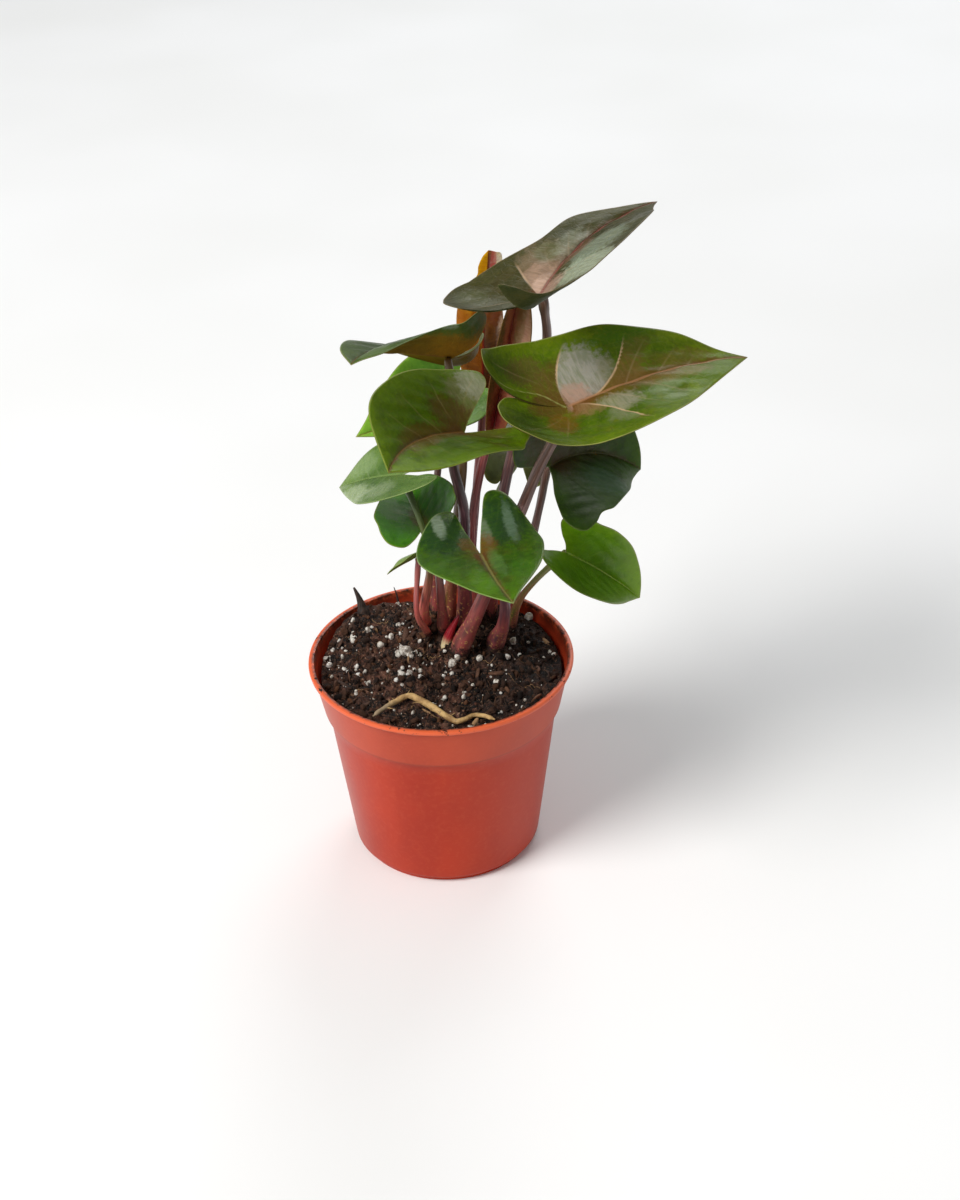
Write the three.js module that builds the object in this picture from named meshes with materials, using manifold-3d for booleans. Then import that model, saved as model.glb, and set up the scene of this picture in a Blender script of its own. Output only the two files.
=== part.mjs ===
// A young arrowhead plant (Syngonium) in a small round nursery pot.
// Millimetres, +Z up, origin on the surface that the pot stands on, under the pot's axis.
// The pot's front is -Y. Every blade, leaf stalk, the soil, the loose root and the pot
// are separate closed solids that keep a small gap to each other.
import * as THREE from "three";
import { mergeVertices } from "three/addons/utils/BufferGeometryUtils.js";
import Module from "manifold-3d";

const wasm = await Module();
wasm.setup();

// ---------------------------------------------------------------- driving sizes

const GAP = 0.35; // clear space left between neighbouring solids
const ROOM = 0.42; // how much wider a socket in the soil is than its stalk
const SEAT = 0.3; // clear space between the soil and the pot

const POT = {
  height: 49,
  rimRadius: 30,
  lipHeight: 1.1,
  collarHeight: 11.4,
  collarTopRadius: 29.1,
  collarFootRadius: 27.2,
  shoulderRadius: 26.2,
  heelRadius: 21.8,
  footRadius: 20.6,
  footHeight: 1.3,
  footInnerRadius: 17,
  baseRecess: 1.2,
  hubRadius: 7,
  wall: 1.0,
  floor: 2.4,
  sides: 40,
};
const DRAIN = { count: 8, radius: 2.2, ring: 12, sides: 10 };

const SOIL = {
  level: 45.4,
  rings: 8,
  sectors: 30,
  crumbs: 34,
  seed: 7,
  stalkDepth: 9,
};

const BLADE_THICKNESS = 0.7;
const STALK = { sides: 8, rings: 9 };

// Each leaf: where its stalk meets the blade (joint), the blade's size and its attitude.
//   length, width: from the joint to the tip, and half the breadth
//   lobes, splay: reach of the left and right basal lobes, and how far their ends stand out
//   taper: fullness towards the tip (1 is a plain arrowhead)
//   outline: the edge of each half from the tip round the lobe to the joint, as distances
//     along the midrib and out from it, in place of splay and taper; a lobe that reaches
//     over the midrib's line has distances below zero
//   heading, pitch, roll: compass, climb and bank of the midrib at the joint, in degrees
//   fold: rise of the left and right half from the midrib; cup: further bend out to the edge
//   arch: fall of the tip; raise: lift of the left and right lobes
//   sweep: sideways bend of the midrib; twist: turn of the blade towards the tip
//   wave: height, count and phase of the waves along the edge
// stalk: points that the stalk passes, from the soil up, without its upper end.
const LEAVES = {
  top_leaf: {
    joint: [23, -4, 137.5], length: 43, width: 16.5,
    outline: {
      left: [[34, 2.5], [24.5, 7], [14, 8], [5, 13], [-4, 17.5], [-13, 16.5],
        [-18.8, 13], [-18.8, 8.5], [-13, 8.2], [-5.5, 5.2]],
      right: [[38.5, 3.2], [28, 12.5], [15, 16], [3.5, 17], [-5, 14.7], [-12.5, 11],
        [-21, 10.3], [-24, 8], [-13, 7.4], [-5.5, 3.8]],
    },
    lobes: [21.5, 22.5], heading: 63, pitch: 18, roll: -32, fold: [37, 8], cup: -6,
    arch: 30, raise: [64, 65], sweep: -13, twist: 13, wave: [0.4, 7, 60],
    stalk: [[11.4, 15.2], [15, 12, 81.5], [19, 8, 102], [24.5, 5.5, 121]],
    thick: [1.8, 0.95], color: 0x5f6b4a,
  },
  right_leaf: {
    joint: [28, -16, 118.5], length: 44, width: 16.5,
    outline: {
      left: [[37, 3.2], [27.5, 8.5], [15.5, 14], [4.5, 15], [-5.5, 16.5], [-13.5, 16],
        [-21.5, 12], [-21.6, 8.5], [-14, 6.6], [-5.2, 5]],
      right: [[36.5, 4], [26, 9], [15.5, 15.5], [5, 17.5], [-5.5, 14], [-13, 12.8],
        [-18, 9], [-18.6, 2.4], [-13, -4.6], [-5, -3.6]],
    },
    lobes: [22.5, 22], heading: 18, pitch: 15, roll: 16, fold: [6, 0], cup: 32,
    arch: 33, raise: [82, 72], sweep: 9, twist: 7, wave: [0.6, 7, 200],
    stalk: [[4.2, 2.5], [8.3, -1.4, 60.5], [17.8, -8.6, 89.5], [22.3, -12, 103.5]],
    thick: [2, 1.1], color: 0x55762c,
  },
  front_left_leaf: {
    joint: [6, -20, 115.5], length: 34.5, width: 16,
    outline: {
      left: [[29.5, 5.5], [21.5, 11], [12.5, 14], [3, 16], [-3, 15.5], [-7, 13.5],
        [-10.5, 11.5], [-11.5, 7], [-8.5, 3], [-4.5, 0.7]],
      right: [[28.5, 5], [21.5, 11], [12.5, 13.5], [2.5, 15.5], [-3.5, 16], [-8, 16],
        [-12.5, 14.5], [-12.5, 11], [-8, 6.8], [-3.5, 2.8]],
    },
    lobes: [12, 13], heading: 223, pitch: 21, roll: -13, fold: [18, 22], cup: 3,
    arch: 5, raise: [40, 31], sweep: 43, twist: -8, wave: [0.5, 5, 90],
    stalk: [[5.8, 10.4], [6, 2, 75.5], [6, -6, 90], [4, -15, 107]],
    thick: [2, 1.05], color: 0x4f7a28,
  },
  upper_left_leaf: {
    joint: [4.2, 11.8, 117.1], length: 31, width: 15,
    outline: {
      left: [[28.5, 6.1], [20, 9.5], [11.5, 11], [2.5, 13], [-3.5, 13.5], [-8.6, 13],
        [-12.5, 11], [-13, 7.5], [-9.1, 4.7], [-4, 1.8]],
      right: [[27, 3.7], [19.5, 7], [11, 11], [2.5, 14.5], [-3.5, 15.5], [-9.1, 14.5],
        [-13, 12], [-13.5, 7], [-9.6, 3.8], [-4.5, 1.6]],
    },
    lobes: [13.5, 14], heading: 180, pitch: 11, roll: 45, fold: [24, 30], cup: -31,
    arch: 40, raise: [55, 96], sweep: 81, twist: -5, wave: [0.4, 5, 0],
    stalk: [[1.8, 13.6], [5, 10.5, 78.5], [6.5, 12.5, 93]],
    thick: [1.7, 0.9], color: 0x4b6233,
  },
  right_dark_leaf: {
    joint: [25.5, 5, 93.5], length: 36.5, width: 16.5, taper: 1.2,
    lobes: [15.5, 11], splay: [0.6, 0.85], heading: 54, pitch: -5, roll: 53,
    fold: [34, 28], cup: 9, arch: 13, raise: [5, -20], sweep: -40, twist: 14,
    wave: [0.4, 5, 30],
    stalk: [[15.1, 13.7], [20, 10.5, 66], [23, 10, 79.5]],
    thick: [1.6, 0.85], color: 0x33522b,
  },
  back_left_leaf: {
    joint: [4, 26, 101], length: 26.5, width: 9.5,
    outline: {
      left: [[22.3, 1.8], [16.4, 4.4], [9.5, 8], [2.1, 9.5], [-2.4, 9.3], [-5.9, 8.7],
        [-8.8, 7.2], [-9.2, 4.4], [-6.3, 2.5], [-2.9, 1]],
      right: [[23, 2.6], [17.5, 7], [10, 10.8], [2.5, 12], [-2.5, 11.4], [-5.6, 10],
        [-8, 7.6], [-8.4, 4.8], [-5.8, 2.5], [-2.6, 1]],
    },
    lobes: [9.5, 8.5], heading: 230, pitch: -2, roll: -41,
    fold: [18, 16], cup: 4, arch: 16, raise: [-1, 11], sweep: -17, twist: 7,
    wave: [0.4, 5, 120],
    stalk: [[-0.8, 17], [-0.5, 16.5, 73], [1.5, 22.5, 88]],
    thick: [1.3, 0.8], color: 0x5b8a3e,
  },
  pale_left_leaf: {
    joint: [-7, -3.5, 97.5], length: 21.5, width: 9.5, taper: 0.95,
    lobes: [12.5, 11], splay: [0.45, 0.55], heading: 144, pitch: -19, roll: -25,
    fold: [14, 13], cup: -3, arch: 21, raise: [0, -3], sweep: -5, twist: -20,
    wave: [0.3, 5, 0],
    stalk: [[-3.2, 12.4], [-3.5, 3.5, 58.5], [-1.5, -9.5, 80], [-2.5, -9.5, 86.5]],
    thick: [1.6, 0.75], color: 0x7da06a,
  },
  low_left_leaf: {
    joint: [-2.5, 1, 82], length: 23.5, width: 11, taper: 1.15,
    lobes: [10.5, 11], splay: [0.7, 0.7], heading: 99, pitch: -4, roll: -17,
    fold: [23, 26], cup: 18, arch: -9, raise: [-4, 19], sweep: 5, twist: 0,
    wave: [0.2, 5, 0],
    stalk: [[1, 9.4], [0.5, 2, 62], [0, 0.5, 71.5]],
    thick: [1.8, 0.8], color: 0x3f7036,
  },
  front_leaf: {
    joint: [9, -24.5, 89.5], length: 27.5, width: 13, taper: 0.9,
    lobes: [18.5, 18], splay: [0.5, 0.35], heading: 279, pitch: 8, roll: 4,
    fold: [11, 13], cup: -14, arch: -3, raise: [42, 19], sweep: 5, twist: -1,
    wave: [0.4, 5, 45],
    stalk: [[12.2, 3.6], [14, -5, 59.5], [13.5, -17, 76]],
    thick: [2, 0.9], color: 0x3b7a2c,
  },
  low_right_leaf: {
    joint: [29, 2, 73], length: 27, width: 12.5, taper: 1,
    lobes: [9, 12.5], splay: [0.8, 0.4], heading: 26, pitch: -38, roll: 66,
    fold: [43, 30], cup: 30, arch: 8, raise: [-8, 18], sweep: -8, twist: -1,
    wave: [0.3, 5, 0],
    stalk: [[16.6, 10.6], [18, 5, 59], [21.5, 3, 65.5]],
    thick: [1.2, 0.7], color: 0x79a52c,
  },
  middle_leaf: {
    joint: [19.5, 22, 88], length: 26, width: 8.5, taper: 1,
    lobes: [11, 11], splay: [0.6, 0.6], heading: 80, pitch: 10, roll: 5,
    fold: [16, 16], cup: 4, arch: 22, raise: [-20, -20], sweep: 0, twist: 0,
    wave: [0.4, 5, 0],
    stalk: [[8.4, 19], [11.5, 20.5, 64.5], [14.5, 21, 78]],
    thick: [1.2, 0.8], color: 0x55603a,
  },
  small_left_leaf: {
    joint: [-4.5, -1, 75.5], length: 7.5, width: 3.6, taper: 0.9,
    lobes: [3, 3], splay: [0.55, 0.55], heading: 196, pitch: -12, roll: 30,
    fold: [14, 14], cup: 0, arch: 20, raise: [0, 0], sweep: 0, twist: 0,
    wave: [0.2, 5, 0],
    stalk: [[-2.6, 8.6], [-5, -2.5, 62.5]],
    thick: [1.1, 0.6], color: 0x8fae6c,
  },
  orange_young_leaf: {
    joint: [12, 35.5, 95.5], length: 37.5, width: 6.5,
    outline: {
      left: [[35.8, 2.6], [34.3, 5], [30.5, 5.4], [24, 5.6], [17, 6.6], [9, 6.4],
        [3, 5], [-1.5, 3.2], [-2.6, 1.6], [-1.6, 0.6]],
      right: [[36, 1.2], [33.5, 2], [31, 2.2], [27.5, 4.6], [20, 6.2], [10, 5.6],
        [3, 4.4], [-2.4, 2.4], [-2.6, 1.2], [-1.6, 0.5]],
    },
    lobes: [5, 5], heading: 275, pitch: 87, roll: 0,
    fold: [26, 20], cup: 18, arch: 6, raise: [0, 0], sweep: 5, twist: 12,
    wave: [0.5, 4, 0],
    stalk: [[5.6, 16.2], [8, 14.5, 68.5], [10, 19.5, 85]],
    thick: [1.4, 0.9], color: 0xb8641f,
  },
  rolled_young_leaf: {
    joint: [13.5, 9.5, 101.5], length: 34, width: 5.5,
    outline: {
      left: [[32, 1.5], [29, 2.8], [24, 4], [17, 4.6], [10, 4.3], [4, 3.4],
        [0, 2.6], [-2, 1.9], [-2.2, 1], [-1.5, 0.4]],
      right: [[32, 2], [29, 3.6], [24, 4.8], [17, 5.2], [10, 4.6], [4, 3.6],
        [0, 2.6], [-2, 1.9], [-2.2, 1], [-1.5, 0.4]],
    },
    lobes: [4, 4], heading: 0, pitch: 80, roll: 92,
    fold: [34, 26], cup: 26, arch: -4, raise: [0, 0], sweep: 0, twist: 6,
    wave: [0.2, 4, 0],
    stalk: [[8.2, 13.4], [8.5, 10.5, 80], [13.5, 12, 101.5]],
    thick: [1.5, 0.9], color: 0x8a4a45,
  },
};

const BUD = { foot: [0.6, 5.4, 44], tip: [4.4, 4.4, 56.4], radius: 1.15, color: 0x9c2332 };

// The loose root lies in a shallow groove in the soil, in front of the stalks.
const ROOT = {
  radius: 0.65,
  lift: 0.35,
  rings: 13,
  path: [[-15.5, -17.6], [-13, -15.2], [-10.2, -12.5], [-7.5, -11.5], [-4.9, -13.2],
    [-2.3, -16], [0.3, -18.6], [2.9, -20.8], [4.8, -20.3], [6.8, -19], [9.4, -19.8], [11.2, -21]],
};

const SPIKE = { foot: [-17.4, 18], tip: [-19.6, 19.6, 55.4], radius: 1.7 };

// ---------------------------------------------------------------- small helpers

const radians = THREE.MathUtils.degToRad;
const vec = (p) => new THREE.Vector3(p[0], p[1], p[2]);

// A repeatable stream of numbers between 0 and 1.
function drawFrom(seed) {
  let state = seed;
  return () => {
    state = (state * 1664525 + 1013904223) % 4294967296;
    return state / 4294967296;
  };
}

// A closed geometry as a solid that can be joined and cut.
function toSolid(geometry) {
  const bare = geometry.clone();
  bare.deleteAttribute("normal");
  bare.deleteAttribute("uv");
  const merged = mergeVertices(bare, 1e-4);
  return new wasm.Manifold(new wasm.Mesh({
    numProp: 3,
    vertProperties: new Float32Array(merged.attributes.position.array),
    triVerts: new Uint32Array(merged.index.array),
  }));
}

function fromSolid(solid) {
  const mesh = solid.getMesh();
  const geometry = new THREE.BufferGeometry();
  geometry.setAttribute("position", new THREE.BufferAttribute(mesh.vertProperties, 3));
  geometry.setIndex(new THREE.BufferAttribute(mesh.triVerts, 1));
  return geometry;
}

function fromTriangles(points, triangles) {
  const geometry = new THREE.BufferGeometry();
  const flat = points.flatMap((p) => [p.x, p.y, p.z]);
  geometry.setAttribute("position", new THREE.Float32BufferAttribute(flat, 3));
  geometry.setIndex(triangles);
  return geometry;
}

function part(name, geometry, color, roughness) {
  geometry.computeVertexNormals();
  const material = new THREE.MeshStandardMaterial({ color, roughness, metalness: 0 });
  const mesh = new THREE.Mesh(geometry, material);
  mesh.name = name;
  return mesh;
}

// ---------------------------------------------------------------- blade

// One half of an arrowhead outline, from near the tip round the lobe to near the joint.
function arrowHalf(length, width, lobe, splay, taper) {
  return [
    [0.84 * length, 0.24 * width * taper],
    [0.62 * length, 0.55 * width * (0.4 + 0.6 * taper)],
    [0.36 * length, 0.84 * width],
    [0.08 * length, width],
    [-0.25 * lobe, 0.98 * width],
    [-0.62 * lobe, (0.5 * splay + 0.62) * width],
    [-0.93 * lobe, (splay + 0.16) * width],
    [-0.97 * lobe, (splay - 0.14) * width],
    [-0.66 * lobe, 0.52 * (splay - 0.1) * width],
    [-0.3 * lobe, 0.26 * (splay - 0.2) * width],
  ];
}

// The half outline as points on a smooth curve, tip and joint included.
const SINUS = -0.8;
function smoothHalf(leaf, side, perSpan) {
  const index = side > 0 ? 0 : 1;
  const own = leaf.outline && (side > 0 ? leaf.outline.left : leaf.outline.right);
  const keys = own || arrowHalf(leaf.length, leaf.width, leaf.lobes[index],
    leaf.splay[index], leaf.taper);
  const all = [[leaf.length, 0], ...keys, [SINUS, 0]];
  const at = (i) => {
    if (i < 0) return all[0].map((c, k) => 2 * c - all[1][k]);
    if (i >= all.length) return all.at(-1).map((c, k) => 2 * c - all.at(-2)[k]);
    return all[i];
  };
  const out = [];
  for (let i = 0; i < all.length - 1; i++) {
    for (let j = 0; j < perSpan; j++) {
      const t = j / perSpan;
      const [a, b, c, d] = [at(i - 1), at(i), at(i + 1), at(i + 2)];
      out.push([0, 1].map((k) => 0.5 * (2 * b[k] + (c[k] - a[k]) * t
        + (2 * a[k] - 5 * b[k] + 4 * c[k] - d[k]) * t * t
        + (3 * b[k] - a[k] - 3 * c[k] + d[k]) * t * t * t)));
    }
  }
  out.push([SINUS, 0]);
  return out;
}

// A point of the flat blade (u along the midrib, v out from it) carried to its place.
function bladePoint(leaf, side, u, v) {
  const index = side > 0 ? 0 : 1;
  const { length, width } = leaf;
  const fold = radians(leaf.fold[index]);
  const cup = radians(leaf.cup) / width + 1e-6;
  let across = side * (Math.sin(fold + cup * v) - Math.sin(fold)) / cup;
  let rise = (Math.cos(fold) - Math.cos(fold + cup * v)) / cup;
  const turn = radians(leaf.twist) * u / length;
  [across, rise] = [across * Math.cos(turn) - rise * Math.sin(turn),
    across * Math.sin(turn) + rise * Math.cos(turn)];
  const reach = Math.min(Math.hypot(u / length, v / width), 1.4);
  const [waveHeight, waveCount, wavePhase] = leaf.wave;
  rise += waveHeight * reach * reach
    * Math.sin(waveCount * Math.atan2(side * v / width, u / length) + radians(wavePhase));
  const bend = u >= 0
    ? -radians(leaf.arch) / length + 1e-9
    : -radians(leaf.raise[index]) / leaf.lobes[index] + 1e-9;
  const run = Math.abs(u);
  const tilt = bend * run;
  const along = (u >= 0 ? 1 : -1) * Math.sin(tilt) / bend - rise * Math.sin(tilt);
  const lift = (u >= 0 ? 1 : -1) * (1 - Math.cos(tilt)) / bend + rise * Math.cos(tilt);
  const sweep = radians(leaf.sweep) / length + 1e-9;
  const swept = Math.max(along, -0.3 * length);
  const angle = sweep * swept;
  const x = Math.sin(angle) / sweep + (along - swept) * Math.cos(angle)
    - across * Math.sin(angle);
  const y = (1 - Math.cos(angle)) / sweep + (along - swept) * Math.sin(angle)
    + across * Math.cos(angle);
  return vec(leaf.joint)
    .addScaledVector(leaf.axes[0], x)
    .addScaledVector(leaf.axes[1], y)
    .addScaledVector(leaf.axes[2], lift);
}

// Forward, left and upward directions of a blade at its joint.
function bladeAxes({ heading, pitch, roll }) {
  const [a, p, r] = [radians(heading), radians(pitch), radians(roll)];
  const forward = new THREE.Vector3(
    Math.cos(p) * Math.cos(a), Math.cos(p) * Math.sin(a), Math.sin(p));
  const level = new THREE.Vector3(-Math.sin(a), Math.cos(a), 0);
  const above = forward.clone().cross(level);
  const left = level.clone().multiplyScalar(Math.cos(r)).addScaledVector(above, Math.sin(r));
  const up = above.clone().multiplyScalar(Math.cos(r)).addScaledVector(level, -Math.sin(r));
  return [forward, left, up];
}

function halfNormal(leaf, side, u, v) {
  const step = 0.05;
  const du = bladePoint(leaf, side, u + step, v).sub(bladePoint(leaf, side, u - step, v));
  const dv = bladePoint(leaf, side, u, v + step).sub(bladePoint(leaf, side, u, v));
  return du.cross(dv).multiplyScalar(side).normalize();
}

function bladeNormal(leaf, side, u, v) {
  const normal = halfNormal(leaf, side, u, v);
  if (Math.abs(v) < 0.3) normal.add(halfNormal(leaf, -side, u, v)).normalize();
  return normal;
}

// A blade of even thickness: rings of points run out from the joint to the edge.
function bladeGeometry(leaf) {
  const big = leaf.length > 30 && leaf.width > 10;
  const shares = big ? [0.28, 0.54, 0.79, 1] : [0.34, 0.68, 1];
  const left = smoothHalf(leaf, 1, 2).map((q) => [1, ...q]);
  const right = smoothHalf(leaf, -1, 2).map((q) => [-1, ...q]);
  const edge = [...left, ...right.slice(1, -1).reverse()];
  const grid = [[[1, 0, 0]], ...shares.map((s) => edge.map(([side, u, v]) => [side, s * u, s * v]))];
  const upper = [];
  const lower = [];
  for (const [side, u, v] of grid.flat()) {
    const out = u < SINUS ? v : Math.max(v, 0);
    const point = bladePoint(leaf, side, u, out);
    const normal = bladeNormal(leaf, side, u, out);
    upper.push(point.clone().addScaledVector(normal, BLADE_THICKNESS / 2));
    lower.push(point.clone().addScaledVector(normal, -BLADE_THICKNESS / 2));
  }
  const count = edge.length;
  const below = upper.length;
  const triangles = [];
  const face = (a, b, c) => {
    triangles.push(a, b, c, below + a, below + c, below + b);
  };
  for (let i = 0; i < count; i++) {
    const next = (i + 1) % count;
    face(0, 1 + i, 1 + next);
    for (let ring = 1; ring < shares.length; ring++) {
      const [inner, outer] = [1 + (ring - 1) * count, 1 + ring * count];
      face(inner + i, outer + i, outer + next);
      face(inner + i, outer + next, inner + next);
    }
    const rim = 1 + (shares.length - 1) * count;
    triangles.push(rim + i, below + rim + i, below + rim + next);
    triangles.push(rim + i, below + rim + next, rim + next);
  }
  return fromTriangles([...upper, ...lower], triangles);
}

// ---------------------------------------------------------------- leaf stalk

// A round stem through the points, with a radius at its foot and at its end.
// drop lowers its foot, which leaves a space under a stalk in its socket.
function stemGeometry(points, footRadius, endRadius, rings, drop = 0) {
  const curve = new THREE.CatmullRomCurve3(points, false, "centripetal");
  const frames = curve.computeFrenetFrames(rings, false);
  const sides = STALK.sides;
  const vertices = [];
  for (let ring = 0; ring <= rings; ring++) {
    const t = ring / rings;
    const centre = curve.getPointAt(t);
    if (ring === 0) centre.z -= drop;
    const radius = endRadius + (footRadius - endRadius) * Math.pow(1 - t, 1.6);
    for (let i = 0; i < sides; i++) {
      const angle = 2 * Math.PI * i / sides;
      vertices.push(centre.clone()
        .addScaledVector(frames.normals[ring], radius * Math.cos(angle))
        .addScaledVector(frames.binormals[ring], radius * Math.sin(angle)));
    }
  }
  const [foot, end] = [vertices.length, vertices.length + 1];
  vertices.push(curve.getPointAt(0), curve.getPointAt(1));
  vertices[foot].z -= drop;
  const triangles = [];
  for (let i = 0; i < sides; i++) {
    const next = (i + 1) % sides;
    triangles.push(foot, next, i);
    triangles.push(end, rings * sides + i, rings * sides + next);
    for (let ring = 0; ring < rings; ring++) {
      const [a, b] = [ring * sides, (ring + 1) * sides];
      triangles.push(a + i, a + next, b + next, a + i, b + next, b + i);
    }
  }
  return fromTriangles(vertices, triangles);
}

function stalkPoints(leaf) {
  const [foot, ...way] = leaf.stalk;
  const underside = vec(leaf.joint).addScaledVector(
    bladeNormal(leaf, 1, 0, 0), -(BLADE_THICKNESS / 2 + GAP + 0.5 * leaf.thick[1]));
  const level = SOIL.level - SOIL.stalkDepth;
  return [vec([foot[0], foot[1], level]), vec([foot[0], foot[1], SOIL.level + 2]),
    ...way.map(vec), underside];
}

function stalkGeometry(leaf, room = 0) {
  const [footRadius, endRadius] = leaf.thick;
  return stemGeometry(stalkPoints(leaf), footRadius + room, endRadius + room,
    STALK.rings, room);
}

function budGeometry(room = 0) {
  const [foot, tip] = [vec(BUD.foot), vec(BUD.tip)];
  const middle = foot.clone().lerp(tip, 0.5).add(new THREE.Vector3(-0.6, 0, 0.3));
  return stemGeometry([foot, middle, tip], BUD.radius + room, 0.25 + room, 5, room);
}

// ---------------------------------------------------------------- pot

function potGeometry() {
  const p = POT;
  const collarFoot = p.height - p.collarHeight;
  const inner = p.rimRadius - p.wall - 0.3;
  const profile = [
    [0, 0], [p.hubRadius, 0], [p.hubRadius + 0.8, p.baseRecess],
    [p.footInnerRadius - 0.8, p.baseRecess], [p.footInnerRadius, 0],
    [p.footRadius, 0], [p.footRadius + 0.2, p.footHeight],
    [p.heelRadius - 0.2, p.footHeight + 0.1], [p.heelRadius, p.footHeight + 0.9],
    [p.shoulderRadius, collarFoot - 0.3], [p.shoulderRadius + 0.2, collarFoot],
    [p.collarFootRadius - 0.2, collarFoot], [p.collarFootRadius, collarFoot + 0.4],
    [p.collarTopRadius, p.height - p.lipHeight - 0.3],
    [p.rimRadius - 0.1, p.height - p.lipHeight], [p.rimRadius, p.height - 0.5],
    [p.rimRadius - 0.3, p.height], [inner + 0.3, p.height], [inner, p.height - 0.4],
    [p.collarFootRadius - p.wall, collarFoot + 0.6],
    [p.shoulderRadius - p.wall, collarFoot - 0.6],
    [p.heelRadius - p.wall, p.floor + 1.4], [p.heelRadius - p.wall - 1.2, p.floor],
    [0, p.floor],
  ].map(([r, z]) => new THREE.Vector2(r, z));
  const body = new THREE.LatheGeometry(profile, p.sides).rotateX(Math.PI / 2);
  let solid = toSolid(body);
  for (let i = 0; i < DRAIN.count; i++) {
    const angle = 2 * Math.PI * (i + 0.5) / DRAIN.count;
    const bore = new THREE.CylinderGeometry(DRAIN.radius, DRAIN.radius, 4, DRAIN.sides)
      .rotateX(Math.PI / 2)
      .translate(DRAIN.ring * Math.cos(angle), DRAIN.ring * Math.sin(angle), 2);
    solid = solid.subtract(toSolid(bore));
  }
  return fromSolid(solid);
}

// ---------------------------------------------------------------- soil

// Height of the soil, heaped at the back left and round the stalks.
function soilHeight(x, y) {
  const heap = 4.8 * Math.exp(-((x + 16) ** 2 + (y - 16) ** 2) / 190);
  const crown = 2.4 * Math.exp(-((x - 6) ** 2 + (y - 11) ** 2) / 150);
  const bank = 1.6 * Math.exp(-((x - 17) ** 2 + (y - 15) ** 2) / 130);
  const ripple = 0.28 * Math.sin(0.9 * x + 1.3) * Math.sin(0.8 * y)
    + 0.2 * Math.sin(1.7 * y + 0.6 * x);
  const dish = 0.00096 * (x * x + y * y);
  return SOIL.level + heap + crown + bank + ripple - dish;
}

function soilGeometry() {
  const p = POT;
  const collarFoot = p.height - p.collarHeight;
  const rough = drawFrom(SOIL.seed);
  const side = [
    [p.heelRadius - p.wall - 1.2 - SEAT, p.floor + SEAT],
    [p.heelRadius - p.wall - SEAT, p.floor + 1.4 + SEAT],
    [p.shoulderRadius - p.wall - SEAT, collarFoot - 0.4],
    [p.collarFootRadius - p.wall - SEAT, collarFoot + 0.8],
    [p.collarTopRadius - p.wall - 1.2, p.height - 6],
  ];
  const edgeRadius = p.collarTopRadius - p.wall - 0.75;
  const vertices = [new THREE.Vector3(0, 0, side[0][1])];
  const { sectors, rings } = SOIL;
  const ringOf = (radius, height) => {
    for (let i = 0; i < sectors; i++) {
      const angle = 2 * Math.PI * i / sectors;
      const [x, y] = [radius * Math.cos(angle), radius * Math.sin(angle)];
      vertices.push(new THREE.Vector3(x, y, height(x, y)));
    }
  };
  side.forEach(([radius, z]) => ringOf(radius, () => z));
  for (let ring = rings; ring >= 1; ring--) {
    const lumps = ring === rings ? 0.2 : 0.75;
    ringOf(edgeRadius * ring / rings, (x, y) => soilHeight(x, y) + lumps * (rough() - 0.5));
  }
  vertices.push(new THREE.Vector3(0, 0, soilHeight(0, 0)));
  const layers = side.length + rings;
  const top = vertices.length - 1;
  const triangles = [];
  for (let i = 0; i < sectors; i++) {
    const next = (i + 1) % sectors;
    triangles.push(0, 1 + next, 1 + i);
    for (let layer = 0; layer < layers - 1; layer++) {
      const [a, b] = [1 + layer * sectors, 1 + (layer + 1) * sectors];
      triangles.push(a + i, a + next, b + next, a + i, b + next, b + i);
    }
    const last = 1 + (layers - 1) * sectors;
    triangles.push(last + i, last + next, top);
  }
  let solid = toSolid(fromTriangles(vertices, triangles));
  solid = solid.add(wasm.Manifold.union(crumbSolids()));
  const foot = vec([...SPIKE.foot, soilHeight(...SPIKE.foot) - 1.5]);
  solid = solid.add(toSolid(stemGeometry(
    [foot, foot.clone().lerp(vec(SPIKE.tip), 0.6).add(new THREE.Vector3(0.3, 0, 0)),
      vec(SPIKE.tip)], SPIKE.radius, 0.3, 3)));
  const cuts = Object.values(LEAVES).map((leaf) => toSolid(stalkGeometry(leaf, ROOM)));
  cuts.push(toSolid(budGeometry(ROOM)), toSolid(rootGeometry(ROOM)));
  solid = solid.subtract(wasm.Manifold.union(cuts));
  const pieces = solid.decompose().sort((a, b) => b.volume() - a.volume());
  return fromSolid(pieces[0]);
}

// Lumps of bark, peat and perlite that are bound into the soil's surface.
function crumbSolids() {
  const draw = drawFrom(SOIL.seed + 4);
  const solids = [];
  for (let i = 0; i < SOIL.crumbs; i++) {
    const radius = 25.5 * Math.sqrt(draw());
    const angle = 2 * Math.PI * draw();
    const size = 0.7 + 0.9 * draw() * draw();
    const [x, y] = [radius * Math.cos(angle), radius * Math.sin(angle)];
    const lump = new THREE.IcosahedronGeometry(size, 0)
      .scale(1, 0.75 + 0.5 * draw(), 0.7 + 0.3 * draw())
      .rotateZ(6 * draw())
      .translate(x, y, soilHeight(x, y) + 0.15 * size);
    solids.push(toSolid(lump));
  }
  return solids;
}

// ---------------------------------------------------------------- loose root

// room widens the root and lengthens it at both ends, for the groove that it lies in.
function rootGeometry(room = 0) {
  const points = ROOT.path.map(([x, y]) => vec([x, y, soilHeight(x, y) + ROOT.lift]));
  const stretch = (end, beside) => end.addScaledVector(
    end.clone().sub(beside).normalize(), room);
  stretch(points[0], points[1]);
  stretch(points.at(-1), points.at(-2));
  return stemGeometry(points, ROOT.radius + room, ROOT.radius * 0.8 + room, ROOT.rings);
}

// ---------------------------------------------------------------- the plant

const plant = new THREE.Group();
for (const leaf of Object.values(LEAVES)) leaf.axes = bladeAxes(leaf);

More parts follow.
